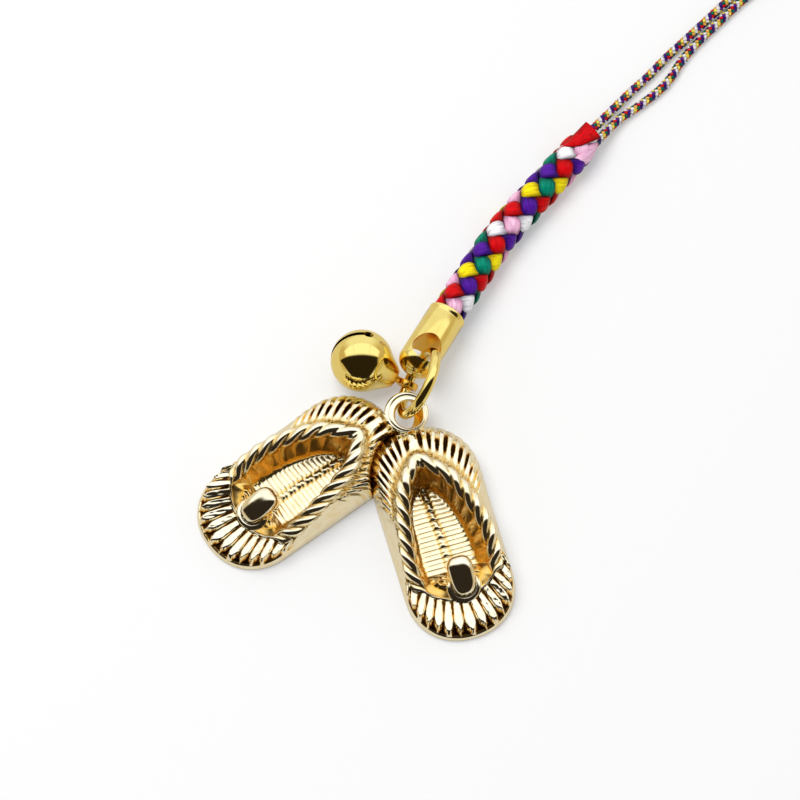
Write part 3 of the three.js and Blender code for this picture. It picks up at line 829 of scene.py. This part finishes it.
class STRAP_OT_bell(StrapOperator):
    """Spins the bell, cuts its slot, adds its loop and dresses its pellet"""

    bl_idname = "strap.bell"
    bl_label = "Bell"

    def execute(self, context):
        given = context.scene.strap_metal
        gold = gold_with_painted_shade("yellow_gold_bell", given.gold, polish=0.03, cloud_scale=250.0, relief=0.0)
        shell = self.shell(given.bell_radius / MM, given.bell_wall / MM)
        dressed(shell, gold)
        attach(shell, "bell")
        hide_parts("bell_body")
        loop = self.loop()
        dressed(loop, gold)
        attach(loop, "bell")
        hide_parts("bell_loop")
        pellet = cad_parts["bell_pellet"]
        dressed(pellet, plated("pellet_steel", (0.5, 0.5, 0.52), polish=0.2, cloud_scale=600.0))
        return {"FINISHED"}

    def shell(self, radius, wall):
        """The bell's body: a ball with a flared neck and one slot with round ends."""
        neck, neck_height, neck_hole, lip, shoulder = 1.25, 4.75, 0.62, 0.08, 42
        inner = radius - wall
        ball, lining = arc(radius, (0, 0), -90, shoulder, 60), arc(inner, (0, 0), -90, shoulder, 40)
        under_neck = neck_height - wall
        profile = [(0, -radius)] + ball[1:] + self.flare(ball[-1], (neck, neck_height), shoulder)
        profile += arc(lip, (neck - lip, neck_height - lip), 0, 90, 4)
        profile += [(neck_hole, neck_height), (neck_hole, under_neck), (neck - wall / 2, under_neck)]
        profile += lining[:0:-1] + [(0, -inner)]
        shell = spun("bell_shell", profile, 160)
        self.cut_slot(shell, radius)
        across = BELL_AXIS.cross(EYE_NORMAL).normalized()
        level = across.cross(BELL_AXIS).normalized()
        slot_turn = math.radians(37)
        near = math.cos(slot_turn) * across - math.sin(slot_turn) * level
        placed(shell, BELL_CENTRE, BELL_AXIS, near)
        smooth_faces(shell, 35)
        up = (points_of(shell) - BELL_CENTRE) @ np.array(BELL_AXIS)
        # Painted shade and warm painted reflection that deepen up the flare towards the neck
        shade_from, shade_height, deepest_shade = 3.1, 1.4, 0.62
        set_values(shell, "painted_hollow_shade", deepest_shade * np.clip((up - shade_from) / shade_height, 0, 1))
        return shell

    def cut_slot(self, shell, radius):
        """One narrow slot across the foot of the ball, with a round hole at each end."""
        half_width, end_radius, end_depth, reach, beyond = 0.35, 0.62, 2, math.radians(72), 1
        length, depth = 2 * radius * math.sin(reach), radius * (1 - math.cos(reach)) + beyond
        bpy.ops.mesh.primitive_cube_add(size=1)
        slot = bpy.context.object
        slot.data.transform(Matrix.Diagonal((2 * half_width * MM, length * MM, depth * MM, 1)))
        cut_out(shell, moved(slot, (0, 0, depth / 2 - radius - beyond)))
        for side in (-1, 1):
            bpy.ops.mesh.primitive_cylinder_add(vertices=48, radius=end_radius * MM, depth=end_depth * MM)
            end = moved(bpy.context.object, (0, 0, -radius))
            end.data.transform(Matrix.Rotation(side * reach, 4, "X"))
            cut_out(shell, end)

    def flare(self, start, end, shoulder):
        """Hollow curve from the ball up to the neck."""
        lean, bend, steps = math.radians(shoulder), 0.75, 16
        control = (start[0] - bend * math.sin(lean), start[1] + bend * math.cos(lean))
        points = []
        for i in range(1, steps):
            t = i / steps
            corners = zip(start, control, end)
            points.append([(1 - t) ** 2 * a + 2 * t * (1 - t) * b + t * t * c for a, b, c in corners])
        return points

    def loop(self):
        """The eye with its stem, whose head sits inside the neck."""
        hole, outer, half, rim, reach = 0.85, 1.35, 0.4, 0.12, 6.6
        profile = []
        for r, h, start in ((outer, half, 0), (hole, half, 90), (hole, -half, 180), (outer, -half, 270)):
            centre = (r - rim if r == outer else r + rim, h - rim if h > 0 else h + rim)
            profile += arc(rim, centre, start, start + 90, 4)
        eye_centre = Vector(BELL_CENTRE) + reach * BELL_AXIS
        eye = placed(spun("bell_eye", profile, 96), eye_centre, EYE_NORMAL, BELL_AXIS)
        in_eye, head_top, head, head_thick, stem_radius = 0.25, 4.35, 0.85, 0.35, 0.45
        stem_top = reach - outer + in_eye
        stem_profile = [
            (0, head_top - head_thick), (head, head_top - head_thick), (head, head_top),
            (stem_radius, head_top), (stem_radius, stem_top), (0, stem_top),
        ]
        stem = placed(spun("bell_stem", stem_profile, 48), BELL_CENTRE, BELL_AXIS, (0, 0, 1))
        loop = joined("bell_eye_and_stem", [eye, stem])
        smooth_faces(loop, 40)
        # The eye and stem get an even painted amber shade and reflection
        painted_amber_shade = 0.5
        set_values(loop, "painted_hollow_shade", [painted_amber_shade] * len(loop.data.vertices))
        return loop


class STRAP_OT_sandals(StrapOperator):
    """Shapes the cast pair of straw sandals with their eyelet"""

    bl_idname = "strap.sandals"
    bl_label = "Straw sandals"

    STEPS = 640
    FLOOR = 1.4
    # Painted shade and warm painted reflection in the well and in the eyelet's hole
    PAINTED_AMBER_SHADE = 0.6
    # Heading, centre, side on which the other sandal lies, and place of the knob
    PAIR = (
        (math.radians(286.5), (0.0, 0.0), -1, (6.5, 0.45)),
        (math.radians(216.2), (-17.794, 6.723), 1, (6.1, 0.25)),
    )
    # Across the margin at the heel, from the edge (0) to the rope (1): share of the rise, depth of the
    # notches and their painted shade, lumps, and painted shade beside the rope
    HEEL_RISE = ((0, 0.12, 0.28, 0.55, 0.82, 0.92, 1), (0, 0.3, 0.52, 0.66, 0.68, 0.8, 1))
    NOTCHES = ((0, 0.2, 0.6, 0.76, 1), (0.25, 0.3, 0.85, 0.1, 0))
    NOTCH_SHADE = ((0, 0.1, 0.2), (0, 0.3, 1))
    LUMPS = ((0.72, 0.84, 1), (0, 1, 1))
    ROPE_SHADE = ((0.7, 0.82, 1), (0, 0.36, 0.5))

    def execute(self, context):
        self.given = context.scene.strap_sandals
        self.length, self.width = self.given.length / MM, self.given.width / MM
        self.rope = self.given.rope_radius / MM
        parts = []
        for number, (heading, centre, inner, knob) in enumerate(self.PAIR):
            for part in (self.sandal(number, inner), self.knob(number, *knob)):
                parts.append(moved(part, (*centre, 0), Matrix.Rotation(heading, 4, "Z")))
                self.keep_bore_open(part)
        self.tuck_under(parts[2])
        charm = joined("sandal_pair", [*parts, self.eyelet()])
        pale = context.scene.strap_metal.pale
        dressed(charm, gold_with_painted_shade("pale_gold_casting", pale, polish=0.07, cloud_scale=700.0, relief=0.12))
        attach(charm, "charm")
        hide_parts("sandal_charm")
        return {"FINISHED"}

    def outline(self, half):
        """Even points round a closed curve from its half outline, toe first, then the left side."""
        closed = list(half) + [(along, -across) for along, across in reversed(half[1:-1])]
        dense = through(closed, closed=True)
        total = run_length(dense)[-1]
        return at_lengths(dense, np.arange(self.STEPS) * total / self.STEPS), total

    def sole_outline(self, inset, inner):
        """Outline of the sole: straight sides, a round toe and a heel that is squarer inside."""
        radius = self.width / 2
        straight = (self.length - self.width) / 2
        side = radius - inset
        quarter = math.pi * radius / 2
        share = np.arange(self.STEPS) / self.STEPS * (4 * quarter + 4 * straight)
        result = np.zeros((self.STEPS, 2))
        toe, heel = 0.92, {inner: 0.77, -inner: 1.0}
        legs = (
            (quarter, straight, 0, toe), (2 * straight, 0, 1, None), (quarter, -straight, 1, heel[1]),
            (quarter, -straight, 2, heel[-1]), (2 * straight, 0, -1, None), (quarter, straight, 3, toe),
        )
        start = 0
        for run, middle, turn, power in legs:
            inside = (share >= start - 1e-9) & (share <= start + run)
            t = (share[inside] - start) / run
            if power is None:
                x, y = turn * straight * (1 - 2 * t), np.full(len(t), turn * side)
            else:
                angle = (turn + t) * math.pi / 2
                c, s = np.cos(angle), np.sin(angle)
                x = middle + side * np.sign(c) * np.abs(c) ** power
                y = side * np.sign(s) * np.abs(s) ** power
            result[inside] = np.stack([x, y], axis=1)
            start += run
        return result

    def lean(self, along, heel, inner):
        """How far the rope and the well lean towards the other sandal on their way to the heel."""
        at_heel = 0.7
        return inner * at_heel * np.maximum(along / heel, 0)

    def rope_top(self, along):
        heel, toe = self.given.heel_height / MM, self.given.toe_height / MM
        rope_toe, rope_heel = ROPE_HALF[0][0], ROPE_HALF[-1][0]
        share = np.clip((along - rope_heel) / (rope_toe - rope_heel), 0, 1)
        return heel - (heel - toe) * share ** 2.2

    def rope_size(self, along):
        """Radius of the rope, which thins out beside the knob."""
        return self.rope * (1 - 0.85 * ease(along, 6.0, 7.4))

    def edge_height(self, along):
        heel_edge, toe_edge = 3.4, 1.0
        return np.interp(along, [-self.length / 2, self.length / 2], [heel_edge, toe_edge])

    def grain(self, flat, spacing):
        """Fine lumps, from -1 to 1."""
        x, y = (flat * 2 * np.pi / spacing).T
        first = np.sin(x + 0.9 * np.sin(0.63 * y + 1.1)) * np.sin(y + 0.8 * np.sin(0.71 * x))
        second = np.sin(1.7 * x + 0.6 * y + 0.4) * np.sin(1.6 * y - 0.5 * x + 2.0)
        return np.clip(0.7 * first + 0.5 * second, -1, 1)

    def sandal(self, number, inner):
        """One sandal as a net of rows, from under the sole over edge and rope to the well's floor."""
        rope_line, rope_total = self.outline(ROPE_HALF)
        well_line, _ = self.outline(WELL_HALF)
        rope_line[:, 1] += self.lean(rope_line[:, 0], ROPE_HALF[-1][0], inner)
        well_line[:, 1] += self.lean(well_line[:, 0], WELL_HALF[-1][0], inner)
        outward = self.outward(rope_line)
        run = np.arange(self.STEPS) / self.STEPS * rope_total
        rows = self.wall_rows(inner)
        rows += self.margin_rows(rows[-1][0], rope_line, outward)
        rows += self.rope_rows(rope_line, outward, run, rope_total)
        rows += self.well_rows(rows[-1][0], well_line, outward, run, inner)
        return self.net(f"sandal_{number}", [row for row, _ in rows], [depth for _, depth in rows])

    def outward(self, flat):
        """The ways out of a closed flat outline."""
        ahead = unit(np.roll(flat, -1, axis=0) - np.roll(flat, 1, axis=0))
        return np.stack([ahead[:, 1], -ahead[:, 0]], axis=1)

    def row(self, flat, height, depth=0.0):
        """A closed row of points with the painted shade of each one, from 0 to 1."""
        height = np.broadcast_to(height, self.STEPS)
        return np.column_stack([flat, height]), np.broadcast_to(np.clip(depth, 0, 1), self.STEPS)

    def ends(self, along):
        """How much a place belongs to the toe and to the heel."""
        return ease(along, 5.2, 7.0), ease(-along, 3.4, 5.4)

    def ridges(self, count):
        """Distance from the middle of the nearest straw ridge: 0 on it, 1 between two."""
        phase = np.arange(self.STEPS) / self.STEPS * count
        return 2 * np.abs(phase - np.round(phase))

    def straw(self, count, shift):
        """One number for each straw (shift 0.5) or each gap (shift 0), from -1 to 1."""
        return np.sin(2.4 * np.floor(np.arange(self.STEPS) / self.STEPS * count + shift))

    def wall_rows(self, inner):
        """Sole and side wall, with the ends of the straws at the heel."""
        round_edge, tooth = 0.25, 0.16
        edge, body = self.sole_outline(round_edge, inner), self.sole_outline(0.0, inner)
        top = self.edge_height(body[:, 0])
        _, heel = self.ends(body[:, 0])
        apart = self.ridges(self.given.heel_ridges)
        rows = [self.row(edge, 0.0), self.row(body, round_edge)]
        for t in (0.3, 0.55, 0.78, 0.92, 1.0):
            flat = body + (edge - body) * t ** 4
            push = tooth * heel * (0.55 - apart ** 3) * ease(t, 0.1, 0.6)
            flat = flat + self.outward(flat) * push[:, None]
            # Painted shade between the straw ends on the heel's wall
            rows.append(self.row(flat, round_edge + (top - round_edge) * t, 0.4 * heel * apart ** 4))
        return rows

    def margin_rows(self, start, rope_line, outward):
        """Straw margin: leaves at the toe, a smooth slope at the sides and ridges round the heel."""
        along = rope_line[:, 0]
        foot = rope_line + outward * self.rope_size(along)[:, None]
        foot_height = self.rope_top(along) - self.rope_size(along)
        toe, heel = self.ends(start[:, 0])
        side = np.clip(1 - toe - heel, 0, 1)
        edge = start[:, 2]
        count = 17
        rows = []
        for i in range(1, count):
            t = i / count
            flat = start[:, :2] + (foot - start[:, :2]) * t
            toe_height, toe_shade = self.toe_leaves(t, flat, edge, foot_height)
            heel_height, heel_shade = self.heel_straws(t, flat, edge, foot_height, start[:, 0])
            slope = edge + (foot_height - edge) * t
            height = toe * toe_height + heel * heel_height + side * slope
            rows.append(self.row(flat, height, toe * toe_shade + heel * heel_shade))
        return rows

    def toe_leaves(self, t, flat, edge, foot_height):
        """Height and painted shade at the toe: the ground falls to the rim, and blunt leaves lie level on
        it, with painted shade between them.
        """
        count = self.given.toe_ridges
        straw = self.straw(count, 0.5)
        uneven = 0.06 * (1 + straw)
        leaf_rise, leaf_fall, roughness = 0.3, 0.25, 0.05
        ground = edge + (foot_height - edge) * (1 - (1 - max(t - 0.05, 0)) ** 2.4)
        tip = ease(t - uneven, -0.03, 0.24) ** 0.6
        narrowed = (0.35 - 0.1 * straw) * ease(t, 0.45, 1.0)
        reach = 0.06 + 0.93 * tip * (1 - narrowed)
        leaf = np.clip(1 - (self.ridges(count) / reach) ** 8, 0, 1)
        top = foot_height + leaf_rise - leaf_fall * t + uneven + roughness * self.grain(flat, 1.1)
        return ground + (top - ground) * leaf, ease(1 - leaf, 0.25, 0.7)

    def heel_straws(self, t, flat, edge, foot_height, along):
        """Height and painted shade at the heel: ridges over a round shoulder, with ragged notches in
        painted shade.
        """
        count = self.given.heel_ridges
        apart, notched = self.ridges(count), self.straw(count, 0)
        ridge_height, lump_height, gap_shade = 0.1, 0.2, 0.12
        gap = np.clip((apart - 0.5) / 0.5, 0, 1) ** 1.2
        # Each notch is a lens between two straws, and some are longer than others
        middle, half = 0.43 + 0.06 * notched, 0.25 - 0.06 * notched
        at_end = 0.2 + 0.8 * ease(-along, 6.5, 10.5)
        lens = np.clip(1 - ((t - middle) / half) ** 2, 0, 1) * at_end
        ragged = apart + 0.16 * self.grain(flat, 0.55) * lens
        painted_notch_shade = ease(ragged, 0.9 - 0.6 * lens, 1.12 - 0.65 * lens) * np.interp(t, *self.NOTCH_SHADE)
        lumps = lump_height * self.grain(flat, 0.6) * np.interp(t, *self.LUMPS)
        height = edge + (foot_height - edge) * np.interp(t, *self.HEEL_RISE) + lumps
        height = height + ridge_height * (1 - apart ** 4) - np.interp(t, *self.NOTCHES) * gap
        return height, np.maximum(painted_notch_shade, gap_shade * gap) + np.interp(t, *self.ROPE_SHADE)

    def rope_rows(self, rope_line, outward, run, rope_total):
        """Twisted rope: its strands mirror each other and are flatter round the heel."""
        along = rope_line[:, 0]
        mirrored_run = np.minimum(run, rope_total - run)
        twist = 1 - 0.6 * ease(-along, 4.4, 6.4)
        size_here = self.rope_size(along)
        centre_height = self.rope_top(along) - size_here
        steps, slant, strand_length, mean_strand = 18, 3.0, 2.05, 0.74
        twist_depth, gap_shade, well_share = 0.55, 0.75, 0.2
        rows = []
        for i in range(steps + 1):
            share = i / steps
            turn = math.pi * share
            strand = np.abs(np.cos(np.pi * (mirrored_run + slant * share) / strand_length)) ** 0.8
            radius = size_here * (1 + twist * twist_depth * (strand - mean_strand))
            flat = rope_line + outward * (radius * math.cos(turn))[:, None]
            # The last fifth of the rope turns into the well's painted amber shade, and the gaps between its
            # strands get painted shade
            into_well = max(share - (1 - well_share), 0) / well_share
            depth = gap_shade * (1 - strand) ** 2 * twist + self.PAINTED_AMBER_SHADE * into_well
            rows.append(self.row(flat, centre_height + radius * math.sin(turn), depth))
        return rows

    def well_rows(self, top, well_line, outward, run, inner):
        """Wall of the well with its wrinkles, then the floor, whose rows run straight to the middle."""
        heel_end, toe_end = WELL_HALF[-1][0], WELL_HALF[0][0]
        bend, toe_fill, wrinkle_depth, wrinkle_length = 0.35, 0.9, 0.04, 1.9
        shift = inner * bend * np.interp(well_line[:, 0], [heel_end, -2, 4, toe_end], [0.2, 1, 1, 0])
        edge = well_line + np.column_stack([np.zeros(self.STEPS), shift])
        along = edge[:, 0]
        filled = ease(along, 4.7, 6.3)
        ground = self.FLOOR + toe_fill * filled
        steps = 9
        rows = []
        for i in range(1, steps):
            t = i / steps
            bow = math.sin(math.pi * t)
            wave = np.sin(2 * np.pi * run / wrinkle_length + 2.0 * np.sin(run * 0.6))
            flat = top[:, :2] * (1 - t) + edge * t + outward * (wrinkle_depth * wave * bow)[:, None]
            height = top[:, 2] * (1 - t) + ground * t
            # The well's wall gets painted amber shade, a little lighter halfway down and darker near its
            # floor
            rows.append(self.row(flat, height, self.PAINTED_AMBER_SHADE - 0.08 * bow + 0.2 * t ** 4))
        return rows + self.floor_rows(edge, shift + self.lean(along, heel_end, inner), run, filled)

    def floor_rows(self, edge, spine, run, filled):
        """Woven floor with a row of beads down its middle, and straw lumps where its toe is filled."""
        along = edge[:, 0]
        half = np.abs(edge[:, 1] - spine)
        woven = 1 - filled
        rib_length, bead_length, rim_length = 0.62, 1.24, 0.95
        rib_depth, groove_depth, bead_height, rim_height = 0.07, 0.06, 0.14, 0.12
        bead_half, groove_place, groove_half, rim_width = 0.3, 0.5, 0.16, 0.25
        rib = np.abs(np.sin(np.pi * along / rib_length)) ** 0.25
        bead_wave = np.abs(np.cos(np.pi * along / bead_length))
        rim_wave = np.abs(np.cos(np.pi * run / rim_length))
        steps = 12
        rows = []
        for i in range(1, steps + 1):
            t = i / steps
            flat = np.column_stack([along, edge[:, 1] * (1 - t) + spine * t])
            away = half * (1 - t)
            bead = bead_wave * np.exp(-(away / bead_half) ** 2)
            groove = np.exp(-((away - groove_place) / groove_half) ** 2)
            rim = np.exp(-((half - away) / rim_width) ** 2)
            weave = rib_depth * (rib - 1) * (1 - rim) - groove_depth * groove
            weave = weave + bead_height * bead + rim_height * rim * rim_wave
            beside = np.exp(-((np.abs(flat[:, 1]) - 2.7) / 0.9) ** 2)
            lump = 0.9 + 0.3 * self.grain(flat, 1.5) + 0.25 * beside
            # Painted shade in the ribs' dips, the grooves and along the rim, and a painted amber shade, a
            # little uneven, where the toe is filled
            woven_shade = 0.1 + 0.6 * (1 - rib) + 0.4 * groove + 0.4 * rim
            filled_shade = 0.45 - 0.15 * self.grain(flat, 0.9)
            height = self.FLOOR + woven * weave + filled * lump
            rows.append(self.row(flat, height, woven * woven_shade + filled * filled_shade))
        return rows

    def net(self, name, rows, painted_hollow_shade):
        """A mesh through all rows, closed by one face at each end."""
        steps = self.STEPS
        faces = [tuple(range(steps))[::-1]]
        for row in range(len(rows) - 1):
            for k in range(steps):
                here, above, n = row * steps, (row + 1) * steps, (k + 1) % steps
                faces.append((here + k, here + n, above + n, above + k))
        part = mesh_object(name, np.concatenate(rows) * MM, [], faces)
        set_values(part, "painted_hollow_shade", np.concatenate(painted_hollow_shade))
        begin_edit(part)
        bpy.ops.mesh.remove_doubles(threshold=0.01 * MM)
        end_edit()
        part.data.polygons.foreach_set("use_smooth", [len(p.vertices) < 5 for p in part.data.polygons])
        return part

    def knob(self, number, along, across):
        """Bulb of the thong, flat on top, with the round collar in front of it."""
        bulb_size, bulb_height, bulb_tilt = (2.6, 1.72, 1.5), 3.2, math.radians(24)
        collar_scale, collar_height, collar_tilt = (1.05, 1.12, 1.8), 1.15, math.radians(10)
        in_front, above_sole = 0.95, 0.4
        bpy.ops.mesh.primitive_uv_sphere_add(segments=64, ring_count=40, radius=MM)
        bulb = bpy.context.object
        ball = points_of(bulb)
        front = np.maximum(ball[:, :1], 0)
        boxy = np.sum(np.abs(ball) ** 3, axis=1, keepdims=True) ** (-1 / 3)
        taper = np.hstack([np.ones_like(front), 1 - 0.22 * front ** 2, 1 - 0.12 * front])
        set_points(bulb, ball * boxy * taper * bulb_size)
        moved(bulb, (along, across, bulb_height), Matrix.Rotation(bulb_tilt, 4, "Y"))
        bpy.ops.mesh.primitive_torus_add(
            major_segments=72, minor_segments=20, major_radius=1.45 * MM, minor_radius=0.85 * MM,
        )
        turn = Matrix.Rotation(collar_tilt, 4, "Y") @ Matrix.Diagonal((*collar_scale, 1))
        collar = moved(bpy.context.object, (along + in_front, across, collar_height), turn)
        knob = joined(f"knob_{number}", [bulb, collar])
        points = points_of(knob)
        points[:, 2] = np.maximum(points[:, 2], above_sole)
        set_points(knob, points)
        set_values(knob, "painted_hollow_shade", np.zeros(len(points)))
        knob.data.shade_smooth()
        return knob

    def eyelet(self):
        """Flat ring with a thin groove round its top. Its hole slants and is narrower below."""
        outer, hole, half, rim, groove, hole_rim = 2.75, 1.85, 0.6, 0.3, 0.1, 0.14
        profile = arc(rim, (outer - rim, -half + rim), -90, 0, 4)
        profile += arc(rim, (outer - rim, half - rim), 0, 80, 6)
        profile += [(outer - rim - groove, half - groove), (outer - rim - 2 * groove, half)]
        profile += arc(hole_rim, (hole + hole_rim, half - hole_rim), 90, 180, 5) + [(hole, -half)]
        ring = spun("eyelet", profile, 128)
        smooth_faces(ring, 50)
        points = points_of(ring)
        x, y, z = points.T
        inward = (outer - np.hypot(x, y)) / (outer - hole)
        in_hole = inward > 0.94
        low = 0.5 - z / (2 * half)
        # Painted amber shade inside the eyelet's hole
        set_values(ring, "painted_hollow_shade", self.PAINTED_AMBER_SHADE * in_hole)
        narrow_x = low * in_hole * np.where(x > 0, 0.65, 0.08)
        narrow_y = low * in_hole * np.where(y < 0, 0.25, 0)
        aside, back = 0.3, 0.35
        points[:, 0] = x * (1 - narrow_x) + aside * inward
        points[:, 1] = y * (1 - narrow_y) - back * inward * np.where(y > 0, 1 - low, 1)
        set_points(ring, points)
        return moved(ring, EYELET_CENTRE)

    def keep_bore_open(self, part):
        """Moves what stands in the eyelet's bore out to its wall."""
        bore, aside, least = 1.87, 0.2, 0.001
        middle = np.array([EYELET_CENTRE[0] + aside, EYELET_CENTRE[1]])
        points = points_of(part)
        away = points[:, :2] - middle
        distance = np.maximum(np.linalg.norm(away, axis=1, keepdims=True), least)
        points[:, :2] = np.where(distance < bore, middle + away * bore / distance, points[:, :2])
        set_points(part, points)

    def tuck_under(self, part):
        """Lowers what of the second sandal lies in the first one's way, and paints shade into the crack
        there.
        """
        heading, centre = self.PAIR[0][:2]
        points = points_of(part)
        flat = points[:, :2] - np.array(centre)
        along = flat @ np.array([math.cos(heading), math.sin(heading)])
        across = flat @ np.array([-math.sin(heading), math.cos(heading)])
        straight = (self.length - self.width) / 2
        beyond = np.hypot(along - np.clip(along, -straight, straight), across) - self.width / 2
        low = 1 - ease(beyond, -0.2, 0.35)
        crack_floor, crack_shade = 1.6, 0.9
        height = points[:, 2]
        points[:, 2] = np.where(height > crack_floor, height * (1 - low) + crack_floor * low, height)
        set_points(part, points)
        painted_hollow_shade = np.zeros(len(points))
        part.data.attributes["painted_hollow_shade"].data.foreach_get("value", painted_hollow_shade)
        set_values(part, "painted_hollow_shade", np.maximum(painted_hollow_shade, crack_shade * (1 - ease(beyond, 0.0, 0.7))))


class STRAP_OT_stage(StrapOperator):
    """Lays the pale floor and sets the soft light"""

    bl_idname = "strap.stage"
    bl_label = "Stage"

    WHITE = (1, 1, 1, 1)
    PAINTED_FLOOR_IN_METAL = (0.58, 0.49, 0.31, 1)
    FLOOR_SIZE = 6
    LAMP_PLACE = (-0.16, 0.12, 0.55)
    LAMP_WIDTH = 0.4

    def execute(self, context):
        given = context.scene.strap_stage
        bpy.ops.mesh.primitive_plane_add(size=self.FLOOR_SIZE)
        floor = bpy.context.object
        floor.name = "floor"
        dressed(floor, self.floor_material((*given.floor, 1)))
        self.lamp(context, given.key_power)
        self.world(context, given.sky_light)
        return {"FINISHED"}

    def floor_material(self, colour):
        """Pale floor that is a little brighter than its light makes it where it is seen or reflected, with
        a darker, warmer painted tone where metal reflects it.
        """
        made, tree, shader = material_with("floor", Roughness=0.9, Specular_IOR_Level=0.1)
        rays = tree.nodes.new("ShaderNodeLightPath").outputs
        # Painted reflection: metal reflects the floor in a darker, warmer tone than the floor has
        painted_mirror_tone = mixed(tree, "MIX", rays["Is Glossy Ray"], colour, self.PAINTED_FLOOR_IN_METAL)
        fill(tree, shader, Base_Color=painted_mirror_tone)
        seen = rays["Is Camera Ray"]
        for kind in ("Is Glossy Ray", "Is Transmission Ray"):
            seen = maths(tree, "MAXIMUM", seen, rays[kind])
        own_light = 0.28
        white = node(tree, "ShaderNodeEmission", self.WHITE, 1.0).outputs["Emission"]
        both = blended(tree, maths(tree, "MULTIPLY", seen, own_light), shader.outputs["BSDF"], white)
        fill(tree, tree.nodes["Material Output"], Surface=both)
        return made

    def lamp(self, context, power):
        data = bpy.data.lights.new("key", "AREA")
        data.shape = "DISK"
        data.size = self.LAMP_WIDTH
        data.energy = power
        lamp = bpy.data.objects.new("key", data)
        lamp.location = self.LAMP_PLACE
        lamp.rotation_euler = (-Vector(self.LAMP_PLACE)).to_track_quat("-Z", "Y").to_euler()
        lamp.visible_glossy = False
        context.scene.collection.objects.link(lamp)

    def world(self, context, light):
        """Even light, and for polished metal a pale room with a dark part on the viewer's side."""
        world = bpy.data.worlds.new("room")
        world.use_nodes = True
        context.scene.world = world
        tree = world.node_tree
        tree.nodes.clear()
        rays = tree.nodes.new("ShaderNodeLightPath").outputs
        even = node(tree, "ShaderNodeBackground", self.WHITE, light).outputs["Background"]
        plain = node(tree, "ShaderNodeBackground", self.WHITE, 1.0).outputs["Background"]
        polished = node(tree, "ShaderNodeBackground", self.room(tree), 1.0).outputs["Background"]
        by_gloss = blended(tree, rays["Is Glossy Ray"], even, polished)
        by_camera = blended(tree, rays["Is Camera Ray"], by_gloss, plain)
        node(tree, "ShaderNodeOutputWorld", Surface=by_camera)

    def room(self, tree):
        """Colours that polished metal mirrors. Angles are in degrees: the arch goes from the viewer's side
        over the top to the far side, and side goes to the viewer's right."""
        flank, wall, window_light = (0.62, 0.51, 0.31, 1), (0.95, 0.94, 0.88, 1), (1.2, 1.2, 1.18, 1)
        dark_tone = (0.022, 0.015, 0.008, 1)
        degrees = 180 / math.pi
        place = node(tree, "ShaderNodeTexCoord").outputs["Generated"]
        way = node(tree, "ShaderNodeSeparateXYZ", place).outputs
        front = maths(tree, "MULTIPLY", way["Y"], -1.0)
        arch = maths(tree, "MULTIPLY", maths(tree, "ARCTAN2", way["Z"], front), degrees)
        side = maths(tree, "MULTIPLY", maths(tree, "ARCSINE", way["X"]), degrees)
        # A band is given by its two ends and its softness. The dark one is narrow near the horizon
        # and widens on its way up
        widening = maths(tree, "MAXIMUM", maths(tree, "MULTIPLY_ADD", arch, 1 / 60, 0.2), 0.0)
        spread = maths(tree, "MINIMUM", maths(tree, "POWER", widening, 0.7), 1.0)
        leaning = maths(tree, "DIVIDE", side, maths(tree, "MAXIMUM", spread, 0.02))
        dark = maths(tree, "MULTIPLY", band(tree, arch, -10, 92, 4), band(tree, leaning, -86, 62, 6))
        panes = maths(tree, "MULTIPLY", band(tree, arch, 97, 138, 3), band(tree, side, -60, 62, 4))
        bars = band(tree, maths(tree, "ABSOLUTE", side), 26, 28.5, 0.8)
        window = maths(tree, "MULTIPLY", panes, maths(tree, "SUBTRACT", 1.0, bars))
        walls = mixed(tree, "MIX", band(tree, side, -46, 40, 16), flank, wall)
        return mixed(tree, "MIX", dark, mixed(tree, "MIX", window, walls, window_light), dark_tone)


class STRAP_PT_pieces(bpy.types.Panel):
    """Lists the strap's pieces, to build them one by one"""

    bl_label = "Amulet strap"
    bl_space_type = "VIEW_3D"
    bl_region_type = "UI"
    bl_category = "Strap"

    def draw(self, context):
        for operator in PIECES:
            self.layout.operator(operator.bl_idname)


PIECES = (
    STRAP_OT_camera,
    STRAP_OT_thin_cord,
    STRAP_OT_braid,
    STRAP_OT_end_cap,
    STRAP_OT_jump_ring,
    STRAP_OT_bell,
    STRAP_OT_sandals,
    STRAP_OT_stage,
)
SETTINGS = {
    "strap_cords": CordSettings,
    "strap_metal": MetalSettings,
    "strap_sandals": SandalSettings,
    "strap_stage": StageSettings,
}


def register():
    for group in (*SETTINGS.values(), *PIECES, STRAP_PT_pieces):
        bpy.utils.register_class(group)
    for name, group in SETTINGS.items():
        setattr(bpy.types.Scene, name, PointerProperty(type=group))


def unregister():
    for name in SETTINGS:
        delattr(bpy.types.Scene, name)
    for group in (STRAP_PT_pieces, *PIECES[::-1], *SETTINGS.values()):
        bpy.utils.unregister_class(group)


def main():
    register()
    bpy.context.scene.view_settings.view_transform = "Standard"
    bpy.ops.strap.camera()
    bpy.ops.strap.thin_cord()
    bpy.ops.strap.braid()
    bpy.ops.strap.end_cap()
    bpy.ops.strap.jump_ring()
    bpy.ops.strap.bell()
    bpy.ops.strap.sandals()
    bpy.ops.strap.stage()


if __name__ == "__main__":
    main()
